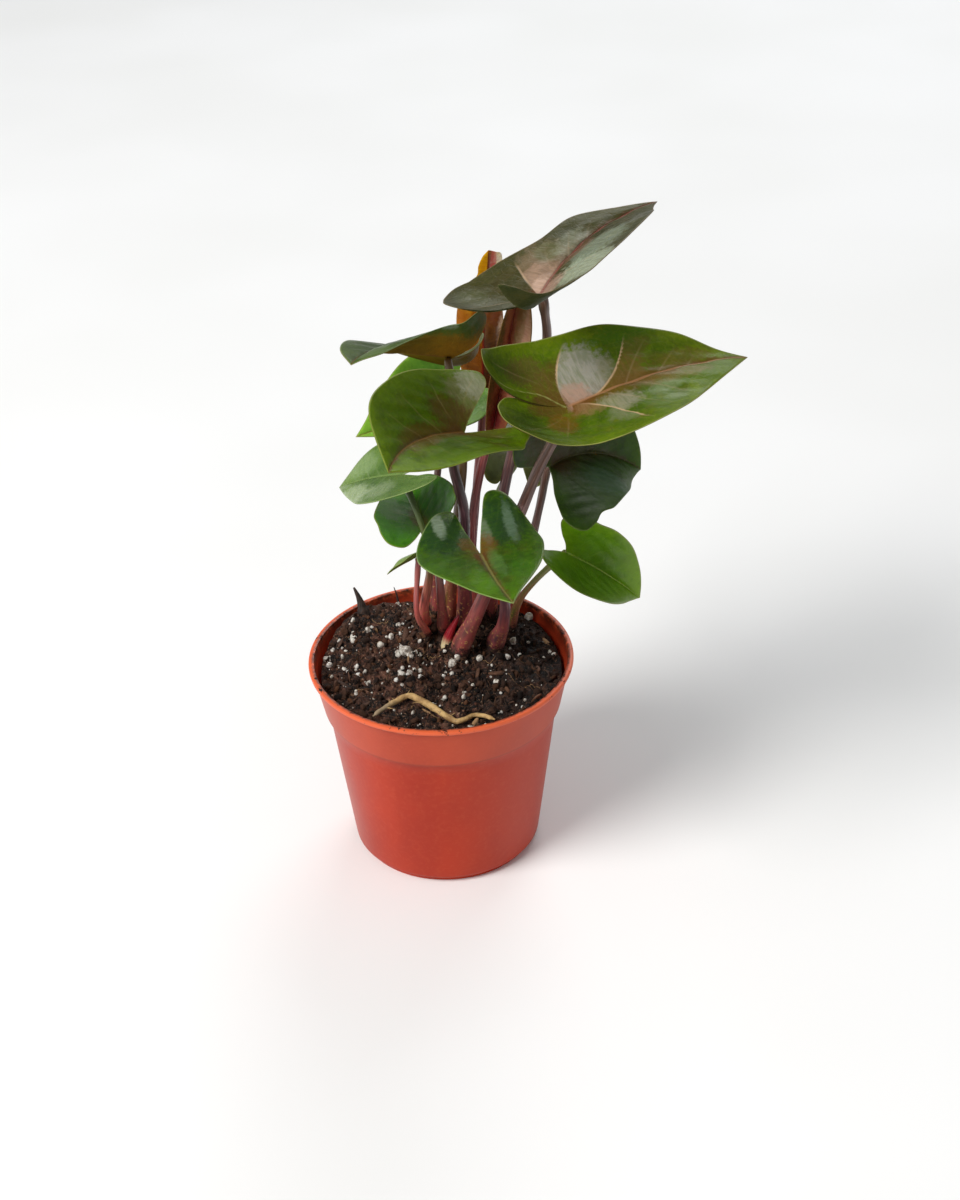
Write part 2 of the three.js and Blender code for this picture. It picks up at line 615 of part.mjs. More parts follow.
plant.add(part("pot", potGeometry(), 0xd2562f, 0.5));
plant.add(part("soil", soilGeometry(), 0x2e211b, 0.95));
plant.add(part("loose_root", rootGeometry(), 0xb89563, 0.7));
plant.add(part("red_bud", budGeometry(), BUD.color, 0.5));
for (const [name, leaf] of Object.entries(LEAVES)) {
  plant.add(part(`${name}_blade`, bladeGeometry(leaf), leaf.color, 0.45));
  plant.add(part(`${name}_stalk`, stalkGeometry(leaf), 0x6d3a44, 0.5));
}

export default plant;
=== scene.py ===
import math

import bmesh
import bpy
import numpy as np
from mathutils import Matrix, Vector, noise


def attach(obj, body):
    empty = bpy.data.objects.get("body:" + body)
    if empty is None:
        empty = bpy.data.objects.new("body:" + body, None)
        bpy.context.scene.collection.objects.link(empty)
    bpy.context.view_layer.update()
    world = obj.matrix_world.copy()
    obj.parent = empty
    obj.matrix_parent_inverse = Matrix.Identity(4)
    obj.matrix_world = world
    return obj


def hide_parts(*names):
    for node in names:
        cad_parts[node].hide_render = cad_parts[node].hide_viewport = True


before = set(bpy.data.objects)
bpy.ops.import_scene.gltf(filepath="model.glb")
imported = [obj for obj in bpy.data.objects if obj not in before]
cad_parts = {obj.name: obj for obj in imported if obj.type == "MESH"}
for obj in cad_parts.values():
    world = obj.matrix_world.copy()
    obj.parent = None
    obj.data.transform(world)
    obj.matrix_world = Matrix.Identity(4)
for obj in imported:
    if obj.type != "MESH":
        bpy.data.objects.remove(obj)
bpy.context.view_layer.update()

MM = 0.001

# ---------------------------------------------------------------- driving sizes

POT = {
    "height": 49, "rim": 30, "lip": 1.1, "collar": 11.4, "collar_top": 29.1,
    "collar_foot": 27.2, "shoulder": 26.2, "heel": 21.8, "foot": 20.6, "foot_height": 1.3,
    "foot_inner": 17, "recess": 1.2, "hub": 7, "wall": 1.0, "floor": 2.4,
}
DRAIN = {"count": 8, "radius": 2.2, "ring": 12}
POT_SIDES = 176
CREASE_ANGLE = 38  # steps of the pot sharper than this stay crisp, in degrees
SOIL_LEVEL = 45.4
STALK_DEPTH = 9
COLLAR_FOOT = POT["height"] - POT["collar"]
BLADE_THICKNESS = 0.34  # in the middle of the visible blade, which thins to its margin
EDGE_THICKNESS = 0.16
SOLID_THICKNESS = 0.7  # of the solid blade
GAP = 0.35  # between the solid blade and the solid stalk below it
SINUS = -0.8  # where the halves of a blade part, along its midrib
# Fineness of a blade by its length: steps from one outline point to the next, and rings.
BLADE_DETAIL = [(34, 16, 44), (20, 10, 26), (0, 7, 14)]

# Each leaf: its joint, size, attitude and stalk, as in the solids.
#   length, width: from the joint to the tip, and half the breadth
#   lobes, splay: reach of the left and right basal lobes, and how far their ends stand out
#   heading, pitch, roll: compass, climb and bank of the midrib at the joint, in degrees
#   fold, cup: rise of the halves and their further bend; arch, lift: bend of tip and lobes
#   sweep, twist: sideways bend and turn of the midrib; wave: height, count, phase at the edge
LEAVES = {
    "top_leaf": dict(
        joint=[23, -4, 137.5], length=43, width=16.5,
        outline=dict(
            left=[[34, 2.5], [24.5, 7], [14, 8], [5, 13], [-4, 17.5], [-13, 16.5],
                [-18.8, 13], [-18.8, 8.5], [-13, 8.2], [-5.5, 5.2]],
            right=[[38.5, 3.2], [28, 12.5], [15, 16], [3.5, 17], [-5, 14.7], [-12.5, 11],
                [-21, 10.3], [-24, 8], [-13, 7.4], [-5.5, 3.8]],
        ),
        lobes=[21.5, 22.5], heading=63, pitch=18, roll=-32, fold=[37, 8], cup=-6,
        arch=30, lift=[64, 65], sweep=-13, twist=13, wave=[0.4, 7, 60],
        stalk=[[11.4, 15.2], [15, 12, 81.5], [19, 8, 102], [24.5, 5.5, 121]],
        thick=[1.8, 0.95],
    ),
    "right_leaf": dict(
        joint=[28, -16, 118.5], length=44, width=16.5,
        outline=dict(
            left=[[37, 3.2], [27.5, 8.5], [15.5, 14], [4.5, 15], [-5.5, 16.5], [-13.5, 16],
                [-21.5, 12], [-21.6, 8.5], [-14, 6.6], [-5.2, 5]],
            right=[[36.5, 4], [26, 9], [15.5, 15.5], [5, 17.5], [-5.5, 14], [-13, 12.8],
                [-18, 9], [-18.6, 2.4], [-13, -4.6], [-5, -3.6]],
        ),
        lobes=[22.5, 22], heading=18, pitch=15, roll=16, fold=[6, 0], cup=32,
        arch=33, lift=[82, 72], sweep=9, twist=7, wave=[0.6, 7, 200],
        stalk=[[4.2, 2.5], [8.3, -1.4, 60.5], [17.8, -8.6, 89.5], [22.3, -12, 103.5]],
        thick=[2, 1.1],
    ),
    "front_left_leaf": dict(
        joint=[6, -20, 115.5], length=34.5, width=16,
        outline=dict(
            left=[[29.5, 5.5], [21.5, 11], [12.5, 14], [3, 16], [-3, 15.5], [-7, 13.5],
                [-10.5, 11.5], [-11.5, 7], [-8.5, 3], [-4.5, 0.7]],
            right=[[28.5, 5], [21.5, 11], [12.5, 13.5], [2.5, 15.5], [-3.5, 16], [-8, 16],
                [-12.5, 14.5], [-12.5, 11], [-8, 6.8], [-3.5, 2.8]],
        ),
        lobes=[12, 13], heading=223, pitch=21, roll=-13, fold=[18, 22], cup=3,
        arch=5, lift=[40, 31], sweep=43, twist=-8, wave=[0.5, 5, 90],
        stalk=[[5.8, 10.4], [6, 2, 75.5], [6, -6, 90], [4, -15, 107]],
        thick=[2, 1.05],
    ),
    "upper_left_leaf": dict(
        joint=[4.2, 11.8, 117.1], length=31, width=15,
        outline=dict(
            left=[[28.5, 6.1], [20, 9.5], [11.5, 11], [2.5, 13], [-3.5, 13.5], [-8.6, 13],
                [-12.5, 11], [-13, 7.5], [-9.1, 4.7], [-4, 1.8]],
            right=[[27, 3.7], [19.5, 7], [11, 11], [2.5, 14.5], [-3.5, 15.5], [-9.1, 14.5],
                [-13, 12], [-13.5, 7], [-9.6, 3.8], [-4.5, 1.6]],
        ),
        lobes=[13.5, 14], heading=180, pitch=11, roll=45, fold=[24, 30], cup=-31,
        arch=40, lift=[55, 96], sweep=81, twist=-5, wave=[0.4, 5, 0],
        stalk=[[1.8, 13.6], [5, 10.5, 78.5], [6.5, 12.5, 93]],
        thick=[1.7, 0.9],
    ),
    "right_dark_leaf": dict(
        joint=[25.5, 5, 93.5], length=36.5, width=16.5, taper=1.2,
        lobes=[15.5, 11], splay=[0.6, 0.85], heading=54, pitch=-5, roll=53,
        fold=[34, 28], cup=9, arch=13, lift=[5, -20], sweep=-40, twist=14,
        wave=[0.4, 5, 30],
        stalk=[[15.1, 13.7], [20, 10.5, 66], [23, 10, 79.5]],
        thick=[1.6, 0.85],
    ),
    "back_left_leaf": dict(
        joint=[4, 26, 101], length=26.5, width=9.5,
        outline=dict(
            left=[[22.3, 1.8], [16.4, 4.4], [9.5, 8], [2.1, 9.5], [-2.4, 9.3], [-5.9, 8.7],
                [-8.8, 7.2], [-9.2, 4.4], [-6.3, 2.5], [-2.9, 1]],
            right=[[23, 2.6], [17.5, 7], [10, 10.8], [2.5, 12], [-2.5, 11.4], [-5.6, 10],
                [-8, 7.6], [-8.4, 4.8], [-5.8, 2.5], [-2.6, 1]],
        ),
        lobes=[9.5, 8.5], heading=230, pitch=-2, roll=-41,
        fold=[18, 16], cup=4, arch=16, lift=[-1, 11], sweep=-17, twist=7,
        wave=[0.4, 5, 120],
        stalk=[[-0.8, 17], [-0.5, 16.5, 73], [1.5, 22.5, 88]],
        thick=[1.3, 0.8],
    ),
    "pale_left_leaf": dict(
        joint=[-7, -3.5, 97.5], length=21.5, width=9.5, taper=0.95,
        lobes=[12.5, 11], splay=[0.45, 0.55], heading=144, pitch=-19, roll=-25,
        fold=[14, 13], cup=-3, arch=21, lift=[0, -3], sweep=-5, twist=-20,
        wave=[0.3, 5, 0],
        stalk=[[-3.2, 12.4], [-3.5, 3.5, 58.5], [-1.5, -9.5, 80], [-2.5, -9.5, 86.5]],
        thick=[1.6, 0.75],
    ),
    "low_left_leaf": dict(
        joint=[-2.5, 1, 82], length=23.5, width=11, taper=1.15,
        lobes=[10.5, 11], splay=[0.7, 0.7], heading=99, pitch=-4, roll=-17,
        fold=[23, 26], cup=18, arch=-9, lift=[-4, 19], sweep=5, twist=0,
        wave=[0.2, 5, 0],
        stalk=[[1, 9.4], [0.5, 2, 62], [0, 0.5, 71.5]],
        thick=[1.8, 0.8],
    ),
    "front_leaf": dict(
        joint=[9, -24.5, 89.5], length=27.5, width=13, taper=0.9,
        lobes=[18.5, 18], splay=[0.5, 0.35], heading=279, pitch=8, roll=4,
        fold=[11, 13], cup=-14, arch=-3, lift=[42, 19], sweep=5, twist=-1,
        wave=[0.4, 5, 45],
        stalk=[[12.2, 3.6], [14, -5, 59.5], [13.5, -17, 76]],
        thick=[2, 0.9],
    ),
    "low_right_leaf": dict(
        joint=[29, 2, 73], length=27, width=12.5, taper=1,
        lobes=[9, 12.5], splay=[0.8, 0.4], heading=26, pitch=-38, roll=66,
        fold=[43, 30], cup=30, arch=8, lift=[-8, 18], sweep=-8, twist=-1,
        wave=[0.3, 5, 0],
        stalk=[[16.6, 10.6], [18, 5, 59], [21.5, 3, 65.5]],
        thick=[1.2, 0.7],
    ),
    "middle_leaf": dict(
        joint=[19.5, 22, 88], length=26, width=8.5, taper=1,
        lobes=[11, 11], splay=[0.6, 0.6], heading=80, pitch=10, roll=5,
        fold=[16, 16], cup=4, arch=22, lift=[-20, -20], sweep=0, twist=0,
        wave=[0.4, 5, 0],
        stalk=[[8.4, 19], [11.5, 20.5, 64.5], [14.5, 21, 78]],
        thick=[1.2, 0.8],
    ),
    "small_left_leaf": dict(
        joint=[-4.5, -1, 75.5], length=7.5, width=3.6, taper=0.9,
        lobes=[3, 3], splay=[0.55, 0.55], heading=196, pitch=-12, roll=30,
        fold=[14, 14], cup=0, arch=20, lift=[0, 0], sweep=0, twist=0,
        wave=[0.2, 5, 0],
        stalk=[[-2.6, 8.6], [-5, -2.5, 62.5]],
        thick=[1.1, 0.6],
    ),
    "orange_young_leaf": dict(
        joint=[12, 35.5, 95.5], length=37.5, width=6.5,
        outline=dict(
            left=[[35.8, 2.6], [34.3, 5], [30.5, 5.4], [24, 5.6], [17, 6.6], [9, 6.4],
                [3, 5], [-1.5, 3.2], [-2.6, 1.6], [-1.6, 0.6]],
            right=[[36, 1.2], [33.5, 2], [31, 2.2], [27.5, 4.6], [20, 6.2], [10, 5.6],
                [3, 4.4], [-2.4, 2.4], [-2.6, 1.2], [-1.6, 0.5]],
        ),
        lobes=[5, 5], heading=275, pitch=87, roll=0,
        fold=[26, 20], cup=18, arch=6, lift=[0, 0], sweep=5, twist=12,
        wave=[0.5, 4, 0],
        stalk=[[5.6, 16.2], [8, 14.5, 68.5], [10, 19.5, 85]],
        thick=[1.4, 0.9],
    ),
    "rolled_young_leaf": dict(
        joint=[13.5, 9.5, 101.5], length=34, width=5.5,
        outline=dict(
            left=[[32, 1.5], [29, 2.8], [24, 4], [17, 4.6], [10, 4.3], [4, 3.4],
                [0, 2.6], [-2, 1.9], [-2.2, 1], [-1.5, 0.4]],
            right=[[32, 2], [29, 3.6], [24, 4.8], [17, 5.2], [10, 4.6], [4, 3.6],
                [0, 2.6], [-2, 1.9], [-2.2, 1], [-1.5, 0.4]],
        ),
        lobes=[4, 4], heading=0, pitch=80, roll=92,
        fold=[34, 26], cup=26, arch=-4, lift=[0, 0], sweep=0, twist=6,
        wave=[0.2, 4, 0],
        stalk=[[8.2, 13.4], [8.5, 10.5, 80], [13.5, 12, 101.5]],
        thick=[1.5, 0.9],
    ),
}

# Foot of each stalk on the soil and its radius there.
FEET = [(*leaf["stalk"][0], leaf["thick"][0]) for leaf in LEAVES.values()]

SOIL_GRAIN = {"rings": 118, "sectors": 300, "edge": 27.35}
# Heaps of the soil: height, middle and how far they spread.
SOIL_HEAPS = [(4.8, -16, 16, 190), (2.4, 6, 11, 150), (1.6, 17, 15, 130)]
# Lumps of the peat: waves in a mm and height.
PEAT_LUMPS = [(0.16, 1.1), (0.42, 0.9), (1.05, 0.85)]
CLOD_WAVES = 1.9
PEAT_CALM = {"from": 27.8, "over": 5}  # the lumps grow from the pot's wall inward
STALK_BANK = {"high": 2.3, "wider": 1.2}
ROOT_BED = {"back": -7, "half_width": 1.8, "clear": 1.1}
BUD = {"foot": [0.6, 5.4, 44], "tip": [4.4, 4.4, 56.4], "radius": 1.15}
ROOT_RADIUS = 0.65
ROOT_LIFT = 0.35
ROOT_PATH = [
    [-15.5, -17.6], [-13, -15.2], [-10.2, -12.5], [-7.5, -11.5], [-4.9, -13.2], [-2.3, -16],
    [0.3, -18.6], [2.9, -20.8], [4.8, -20.3], [6.8, -19], [9.4, -19.8], [11.2, -21],
]
ROOT_STARTS, ROOT_ENDS = np.array(ROOT_PATH[:-1]), np.array(ROOT_PATH[1:])
SPIKE = {"foot": [-17.4, 18], "tip": [-19.6, 19.6, 55.4], "radius": 1.7}
SPLINTER_FOOT = [-9.5, 22.5]

# Side veins as shares of the lobe's or the blade's length and of its half breadth: start on
# the midrib, a point half way, the end at the margin, and how strongly the vein shows.
LOBE_VEINS = [
    [0, -0.4, 0.34, -1.0, 0.6, 0.4], [0, -0.12, 0.5, -0.5, 1.1, 0.2],
    [0, 0.12, 0.5, 0.22, 1.1, 0.25],
]
PLAIN_VEINS = [
    [0.14, 0.25, 0.42, 0.36, 0.95, 0.3], [0.28, 0.4, 0.35, 0.51, 0.78, 0.2],
    [0.43, 0.54, 0.28, 0.65, 0.6, 0.25], [0.57, 0.68, 0.2, 0.78, 0.42, 0.15],
    [0.71, 0.8, 0.12, 0.89, 0.26, 0.15],
]
# The same in millimetres for the leaves whose veins were drawn one by one, left half first.
OWN_VEINS = {
    "top_leaf": [
        [[-0.8, -6, 9, -19, 13, 0.25], [-0.8, 4.2, 6, 10, 13, 1], [6, 12, 5, 18, 10, 0.15],
         [13, 19, 4, 25, 8, 0.2], [20, 26, 3.5, 32, 6, 0.1], [28, 32, 2, 37, 3.5, 0.1]],
        [[-0.8, -8, 5.5, -22, 9, 0.2], [-0.8, -3, 8, -8, 15, 0.15], [1, 6, 7, 10, 17, 0.35],
         [8, 14, 7, 19, 16, 0.2], [15, 22, 6, 28, 13, 0.15], [23, 29, 5, 35, 9, 0.1],
         [30, 34, 3, 38, 5, 0.1]],
    ],
    "right_leaf": [
        [[-0.8, -5.6, 8.3, -20, 12, 0.35], [-0.8, 0.7, 7.7, 6, 14, 1],
         [5.5, 12.8, 4.4, 19, 13, 0.9], [12.5, 18, 5.5, 26, 12, 0.14],
         [20, 25, 3.5, 31, 7.5, 0.12], [27, 31, 2.5, 36, 5, 0.1]],
        [[-0.8, -7, 4.5, -20, 7, 0.12], [-0.8, -4, 7.5, -9, 15, 0.12], [0.5, 7, 5.5, 12, 17, 0.9],
         [7, 14, 6.5, 19, 15, 0.16], [14, 21, 5.5, 27, 12, 0.16], [22, 27.5, 4, 33, 8, 0.1],
         [29, 33, 2, 37, 4, 0.1]],
    ],
    "front_left_leaf": [
        [[-0.8, -4.5, 6, -11, 12, 0.3], [0, 1, 8, -1, 17, 0.15], [5, 9, 7, 11, 16, 0.15],
         [12, 16, 6, 19, 13, 0.12], [19, 23, 4, 27, 9, 0.1], [26, 29, 2, 32, 5, 0.1]],
        [[-0.8, -4.4, 6.8, -11, 13.5, 0.9], [0, 1.5, 7, 1, 16, 0.25], [6, 10, 6.5, 12, 15, 0.2],
         [13, 17, 5.5, 20, 12, 0.15], [20, 24, 4, 28, 8, 0.1], [26, 29, 2, 32, 5, 0.1]],
    ],
}
OUTER_GAP = 12.0  # taken as the gap beyond the first and the last vein
VEIN_SWELL = 0.13  # how far the skin bulges between two side veins
RIPPLE_HEIGHT = 0.16
MIDRIB_GROOVE = {"deep": 0.12, "half_width": 0.55}
# Swellings of a stalk: how much, where its middle is (up from the soil, down from the blade)
# and how far it spreads.
SHEATH = {"swell": 0.5, "middle": 5, "spread": 6.5}
KNUCKLE = {"swell": 0.2, "middle": 2.5, "spread": 2.2}

# Leaf skins, where they differ from a plain green one. The slot and the kind of stalk come
# first, then deep, green and light tones, red flush, midrib, veins, margin and underside; how
# strong the rim's light and the flush are, and how far they reach; gloss and roughness. The
# margin is a thin pale line, partly the edge's own colour and partly a painted highlight on
# the blade's thin edge.
# patches: side, the middle along the midrib and out from it, the two radii in mm, colour and
# strength, and the veins that bound it where it is a cell between two veins. Some patches are
# the leaf's own flush and mottling, others painted sheen, highlight or shade, as marked below.
PLAIN_SKIN = dict(
    slot="green_blade", stalk="bronze", deep="2A4A08", green="3C600E", light="648010",
    flush="5C3A14", rib="7E6A34", vein="8C9448", margin="8A9048", under="4C5F20",
    under_light="62752C", rim_amount=0.8, flush_reach=3, flush_round=7.5, flush_amount=0.6,
    rough=1, crinkle=1, shine=0.3, glow=0.06, patches=(), under_patches=(),
)
LEFT, RIGHT = 1, -1
OPEN, SHUT = -9, 99  # below the first vein and past the last one
LOBE_REACH = 9
LOOKS = {
    "top_leaf": dict(
        PLAIN_SKIN,
        slot="bronze_blade", deep="2C2E10", green="3B3A1C", light="4B4B25", flush="5A3826",
        rib="7E4038", vein="AC9276", margin="76664A", under="333A1E", under_light="4A4A28",
        flush_reach=3.5, flush_amount=0.7, rim_amount=0.45, crinkle=1.8, shine=0.11,
        patches=[
            # painted sheen: the pink spots by the joint in these three lines, and 8C927C, 9DA68C,
            # 8A9680, A48474 below
            (LEFT, 7, 3, 10, 6.5, "86725A", 0.65, 1, SHUT),
            (LEFT, 4, 2, 6.5, 4.2, "AC8C78", 0.65, 1, SHUT),
            (LEFT, 2.2, 1, 3.5, 2.2, "D0B09C", 0.6, 1, SHUT),
            (LEFT, 12, 4.5, 3.5, 3, "4E5C30", 0.5, 1, SHUT),
            (LEFT, 17, 2, 6, 3, "8C927C", 0.45, 1, SHUT), (RIGHT, 3, 12, 7, 9, "9DA68C", 0.85),
            (RIGHT, 14, 8, 10, 6, "8A9680", 0.6), (RIGHT, 1.5, 3, 4, 3, "A48474", 0.7),
            (RIGHT, 14, 2, 6, 2, "7A5848", 0.5), (LEFT, -9, 12, 6, 4, "5E6444", 0.4, OPEN, 1),
        ],
    ),
    "right_leaf": dict(
        PLAIN_SKIN,
        slot="bronze_blade", deep="364C08", green="46600C", light="6C8009", flush="65421C",
        rib="A07450", vein="BFA07C", margin="9CA05C", under="4C4420", under_light="66582C",
        flush_reach=5.5, flush_amount=1, crinkle=1.3, shine=0.1,
        patches=[
            (LEFT, -1, 5.5, 7, 5, "5C4420", 0.8, OPEN, 1),
            (LEFT, -7, 10.5, 6, 3.5, "5A4824", 0.7, OPEN, 1),
            (LEFT, 13, 3.5, 6, 5, "6C5428", 0.85, 2, SHUT),
            (LEFT, 18.5, 8, 4, 3, "5E5222", 0.6, 2, SHUT),
            (LEFT, 28, 2.5, 8, 2.2, "6A5A24", 0.6, 2, SHUT),
            # painted sheen: the silvery cell 979488
            (LEFT, 4.6, 5.5, 7.8, 7.2, "979488", 0.96, 1, 2),
            (LEFT, 1.5, 1.5, 4, 3.6, "AA8470", 0.75, 1, 2),
            (LEFT, 11, 4, 3, 4, "6E6C4C", 0.6, 1, 2),
            (RIGHT, 4.5, 2.2, 5, 3, "8A6E48", 0.7, OPEN, 2),
            # painted sheen: 8E8A70, 85866A and the two bluish 7E8C66 patches
            (RIGHT, 8, 4.6, 6, 3.4, "8E8A70", 0.85, 2, SHUT),
            (RIGHT, 9.5, 8, 5, 4, "85866A", 0.5, OPEN, 2), (RIGHT, 20, 4, 4, 1.8, "7E8C66", 0.6),
            (RIGHT, 19, 8.5, 3, 1.5, "7E8C66", 0.5), (RIGHT, 32, 3, 10, 5, "4E680E", 0.8),
            (LEFT, 20, 12, 10, 3, "3A6810", 0.6), (RIGHT, 24, 2, 9, 1.8, "7A5E30", 0.5),
            (RIGHT, -4.2, -1.5, 5, 4, "57401A", 0.85), (RIGHT, -4, 5, 3.5, 4, "6E4C16", 0.75),
            (RIGHT, -11, 3, 4, 4, "2C3C0A", 0.5),
        ],
    ),
    "front_left_leaf": dict(
        PLAIN_SKIN,
        stalk="plum", deep="354B02", green="456003", light="648003", flush="57390C", rib="7C5A2C",
        vein="A08E5C", flush_reach=4.5, flush_amount=0.85, shine=0.06,
        patches=[
            # painted sheen: the grey 727048 here and 92947A on the right lobe
            (RIGHT, -7, 9, 6, 6, "727048", 0.8, OPEN, 1),
            (RIGHT, -3, 4.6, 4, 2.4, "6A5A34", 0.7, OPEN, 1), (RIGHT, 0.5, 5, 6, 5, "523C10", 0.85),
            (RIGHT, 14, 1.5, 9, 2.4, "54400E", 0.7),
            (RIGHT, -9.5, 11.5, 4, 4.5, "92947A", 0.85, OPEN, 1),
            (LEFT, -5, 4, 6, 3.5, "4E4610", 0.7), (LEFT, 14, 1.6, 9, 2, "5C4212", 0.6),
        ],
    ),
    "upper_left_leaf": dict(
        PLAIN_SKIN,
        slot="bronze_blade", stalk="amber", deep="22350A", green="2C420D", light="455C1B",
        flush="4E3618", rib="6C4A20", margin="7E8C64", under="5C450F", under_light="785914",
        shine=0.14,
        patches=[
            (RIGHT, -2, 9, 9, 5, "7E9074", 0.7), (LEFT, 26, 4, 5, 3, "66764C", 0.5),
        ],
        under_patches=[
            (LEFT, 4, 12.5, 14, 5.2, "3A5A22", 0.95), (LEFT, -8, 10, 7, 5, "34501C", 0.9),
            (LEFT, 3, 12.5, 4, 2, "8A9C86", 0.6), (LEFT, -2, 2, 7, 3.5, "8A5E10", 0.6),
            (LEFT, 18, 8, 9, 4, "4A5A28", 0.8),
        ],
    ),
    "right_dark_leaf": dict(
        PLAIN_SKIN,
        deep="172C05", green="213C09", light="36540D", flush="38240C", rib="3C3A1C", vein="4C5E34",
        margin="54683A", flush_amount=0.7, flush_reach=6, flush_round=13, shine=0.1, rough=1.3,
        crinkle=0.5,
        patches=[
            (RIGHT, 12, 9, 9, 5, "31503A", 0.5), (LEFT, -5, 7, 7, 6, "3A2A10", 0.7),
        ],
    ),
    "back_left_leaf": dict(
        PLAIN_SKIN,
        deep="4A841C", green="609D2D", light="8ABE40", flush_amount=0.2,
    ),
    "pale_left_leaf": dict(
        PLAIN_SKIN,
        slot="pale_blade", stalk="mossy", deep="3B5A24", green="4F6D30", light="6F8A44",
        rib="738C4C", vein="8D9F6C", margin="8B9D69", flush_amount=0.15, rough=0.8,
        patches=[
            (LEFT, 12, 5, 7, 3.4, "A2B08C", 0.75), (RIGHT, 13, 3.5, 6, 3, "869B6E", 0.6),
            (LEFT, 2, 5, 4, 3, "98A882", 0.5),
        ],
    ),
    "low_left_leaf": dict(
        PLAIN_SKIN,
        deep="275C03", green="337407", light="55970A", flush="54380E", rib="5C5A1E",
        flush_amount=0.6, shine=0.05, crinkle=0.6,
        patches=[
            # painted highlight: the pale streak 6E8462
            (LEFT, 8, 6.5, 7, 4, "6E8462", 0.6), (RIGHT, 12, 5, 6, 3, "54703E", 0.5),
            (LEFT, 4, 0.5, 5, 2.5, "5E3C14", 0.6),
        ],
    ),
    "front_leaf": dict(
        PLAIN_SKIN,
        stalk="plum", deep="234207", green="335A0C", light="5E8B13", flush="583612", rib="7E7A44",
        vein="5C7A30", margin="8AA060", flush_amount=0.95, rim_amount=0.5, flush_round=8,
        flush_reach=2.4,
        patches=[
            (RIGHT, -9, 6, 9, 7, "173420", 0.8), (LEFT, -9, 6, 9, 7, "1B3822", 0.8),
            # painted highlight: the whitish streaks 9AAA96, 7E9880 and 86947A along the lobes
            (RIGHT, -13, 6.6, 5.5, 1.5, "9AAA96", 0.6), (LEFT, -8, 8, 8, 1.3, "7E9880", 0.5),
            (LEFT, -7.5, 2.6, 5, 1.3, "86947A", 0.45), (RIGHT, -4.5, 1.4, 3.6, 2.6, "6A4418", 0.7),
            (LEFT, -3.2, 1.8, 4.2, 2.6, "744820", 0.7), (LEFT, 6, 2.2, 8, 1.6, "6E9450", 0.4),
            (LEFT, 12, 6, 5, 3, "447A1C", 0.4), (RIGHT, 15, 2.5, 7, 3, "5E921A", 0.6),
        ],
    ),
    "low_right_leaf": dict(
        PLAIN_SKIN,
        stalk="olive", deep="426903", green="507E05", light="719A08", rib="86A040", vein="769A34",
        flush_amount=0.1,
    ),
    "middle_leaf": dict(
        PLAIN_SKIN,
        slot="bronze_blade", stalk="olive", deep="343A1C", green="424A26", light="5A6434",
        flush="553420", flush_amount=0.7,
    ),
    "small_left_leaf": dict(
        PLAIN_SKIN,
        slot="pale_blade", stalk="red", deep="68863C", green="7A974C", light="97B068",
        flush_amount=0.1,
    ),
    "orange_young_leaf": dict(
        PLAIN_SKIN,
        slot="young_blade", stalk="red", deep="6E3202", green="844A04", light="9C6C08",
        flush="7C2410", rib="6E1410", vein="6E2C0A", margin="A47A20", under="6C3004",
        under_light="8A500A", glow=0.3, flush_reach=2.6, flush_amount=0.8, shine=0.12,
        under_patches=[
            # painted highlight: EEDCC6 and D8B8A0; painted shade: the dark 4A2404 and 562C04 low on the
            # blade
            (LEFT, 33.5, 4.6, 6, 3, "EEDCC6", 1), (LEFT, 32.5, 1.8, 6, 1.3, "C2524A", 0.9),
            (RIGHT, 33, 1.6, 7, 3, "C88E0A", 0.95), (RIGHT, 27, 4, 7, 2.4, "A8760C", 0.8),
            (LEFT, 14.5, 5.6, 5, 1.8, "D8B8A0", 0.9), (LEFT, 6, 3, 13, 5, "4A2404", 0.9),
            (RIGHT, 5, 3, 12, 6, "562C04", 0.8), (RIGHT, 16, 5, 8, 2, "9A5A0A", 0.7),
            (LEFT, 24, 3, 7, 3, "8A3C0C", 0.7),
        ],
    ),
    "rolled_young_leaf": dict(
        PLAIN_SKIN,
        slot="young_blade", stalk="red", deep="5E2316", green="823C28", light="8C5637",
        flush="641218", rib="5A1014", vein="864A3A", margin="5E5014", under="66281E",
        under_light="7C463A", flush_reach=2.4, flush_amount=0.8, glow=0.12, shine=0.16,
        patches=[
            # painted highlight: the pinkish B08A74 streak
            (RIGHT, 18, 3.8, 15, 2.4, "B08A74", 0.85), (RIGHT, 24, 2, 9, 1.2, "6A5A28", 0.6),
            (LEFT, 18, 4.2, 15, 2.4, "42360A", 0.95),
        ],
    ),
}

# Stalk skins: dark and body tones, pale streaks, base, then the green of the upper end,
# from where it shows and how strong it is.
STALK_PAINTS = {
    "bronze": ["42262A", "6A403C", "A68A7E", "AC5450", "6B5B40", 0.75, 0.3],
    "red": ["66222A", "94403C", "C28C7E", "E6766A", "7A4A3C", 0.9, 0.2],
    "plum": ["2C161C", "4A2A32", "8A6C6C", "A04C4A", "4F3A38", 0.9, 0.2],
    "mossy": ["5A2226", "8A4038", "B08A68", "E6766A", "3C5420", 0.68, 0.95],
    "amber": ["4E3814", "664A18", "86642E", "A45A50", "5C4012", 0.5, 0.95],
    "olive": ["505426", "6E7636", "A0A668", "A45A50", "6E7A34", 0.45, 0.8],
}

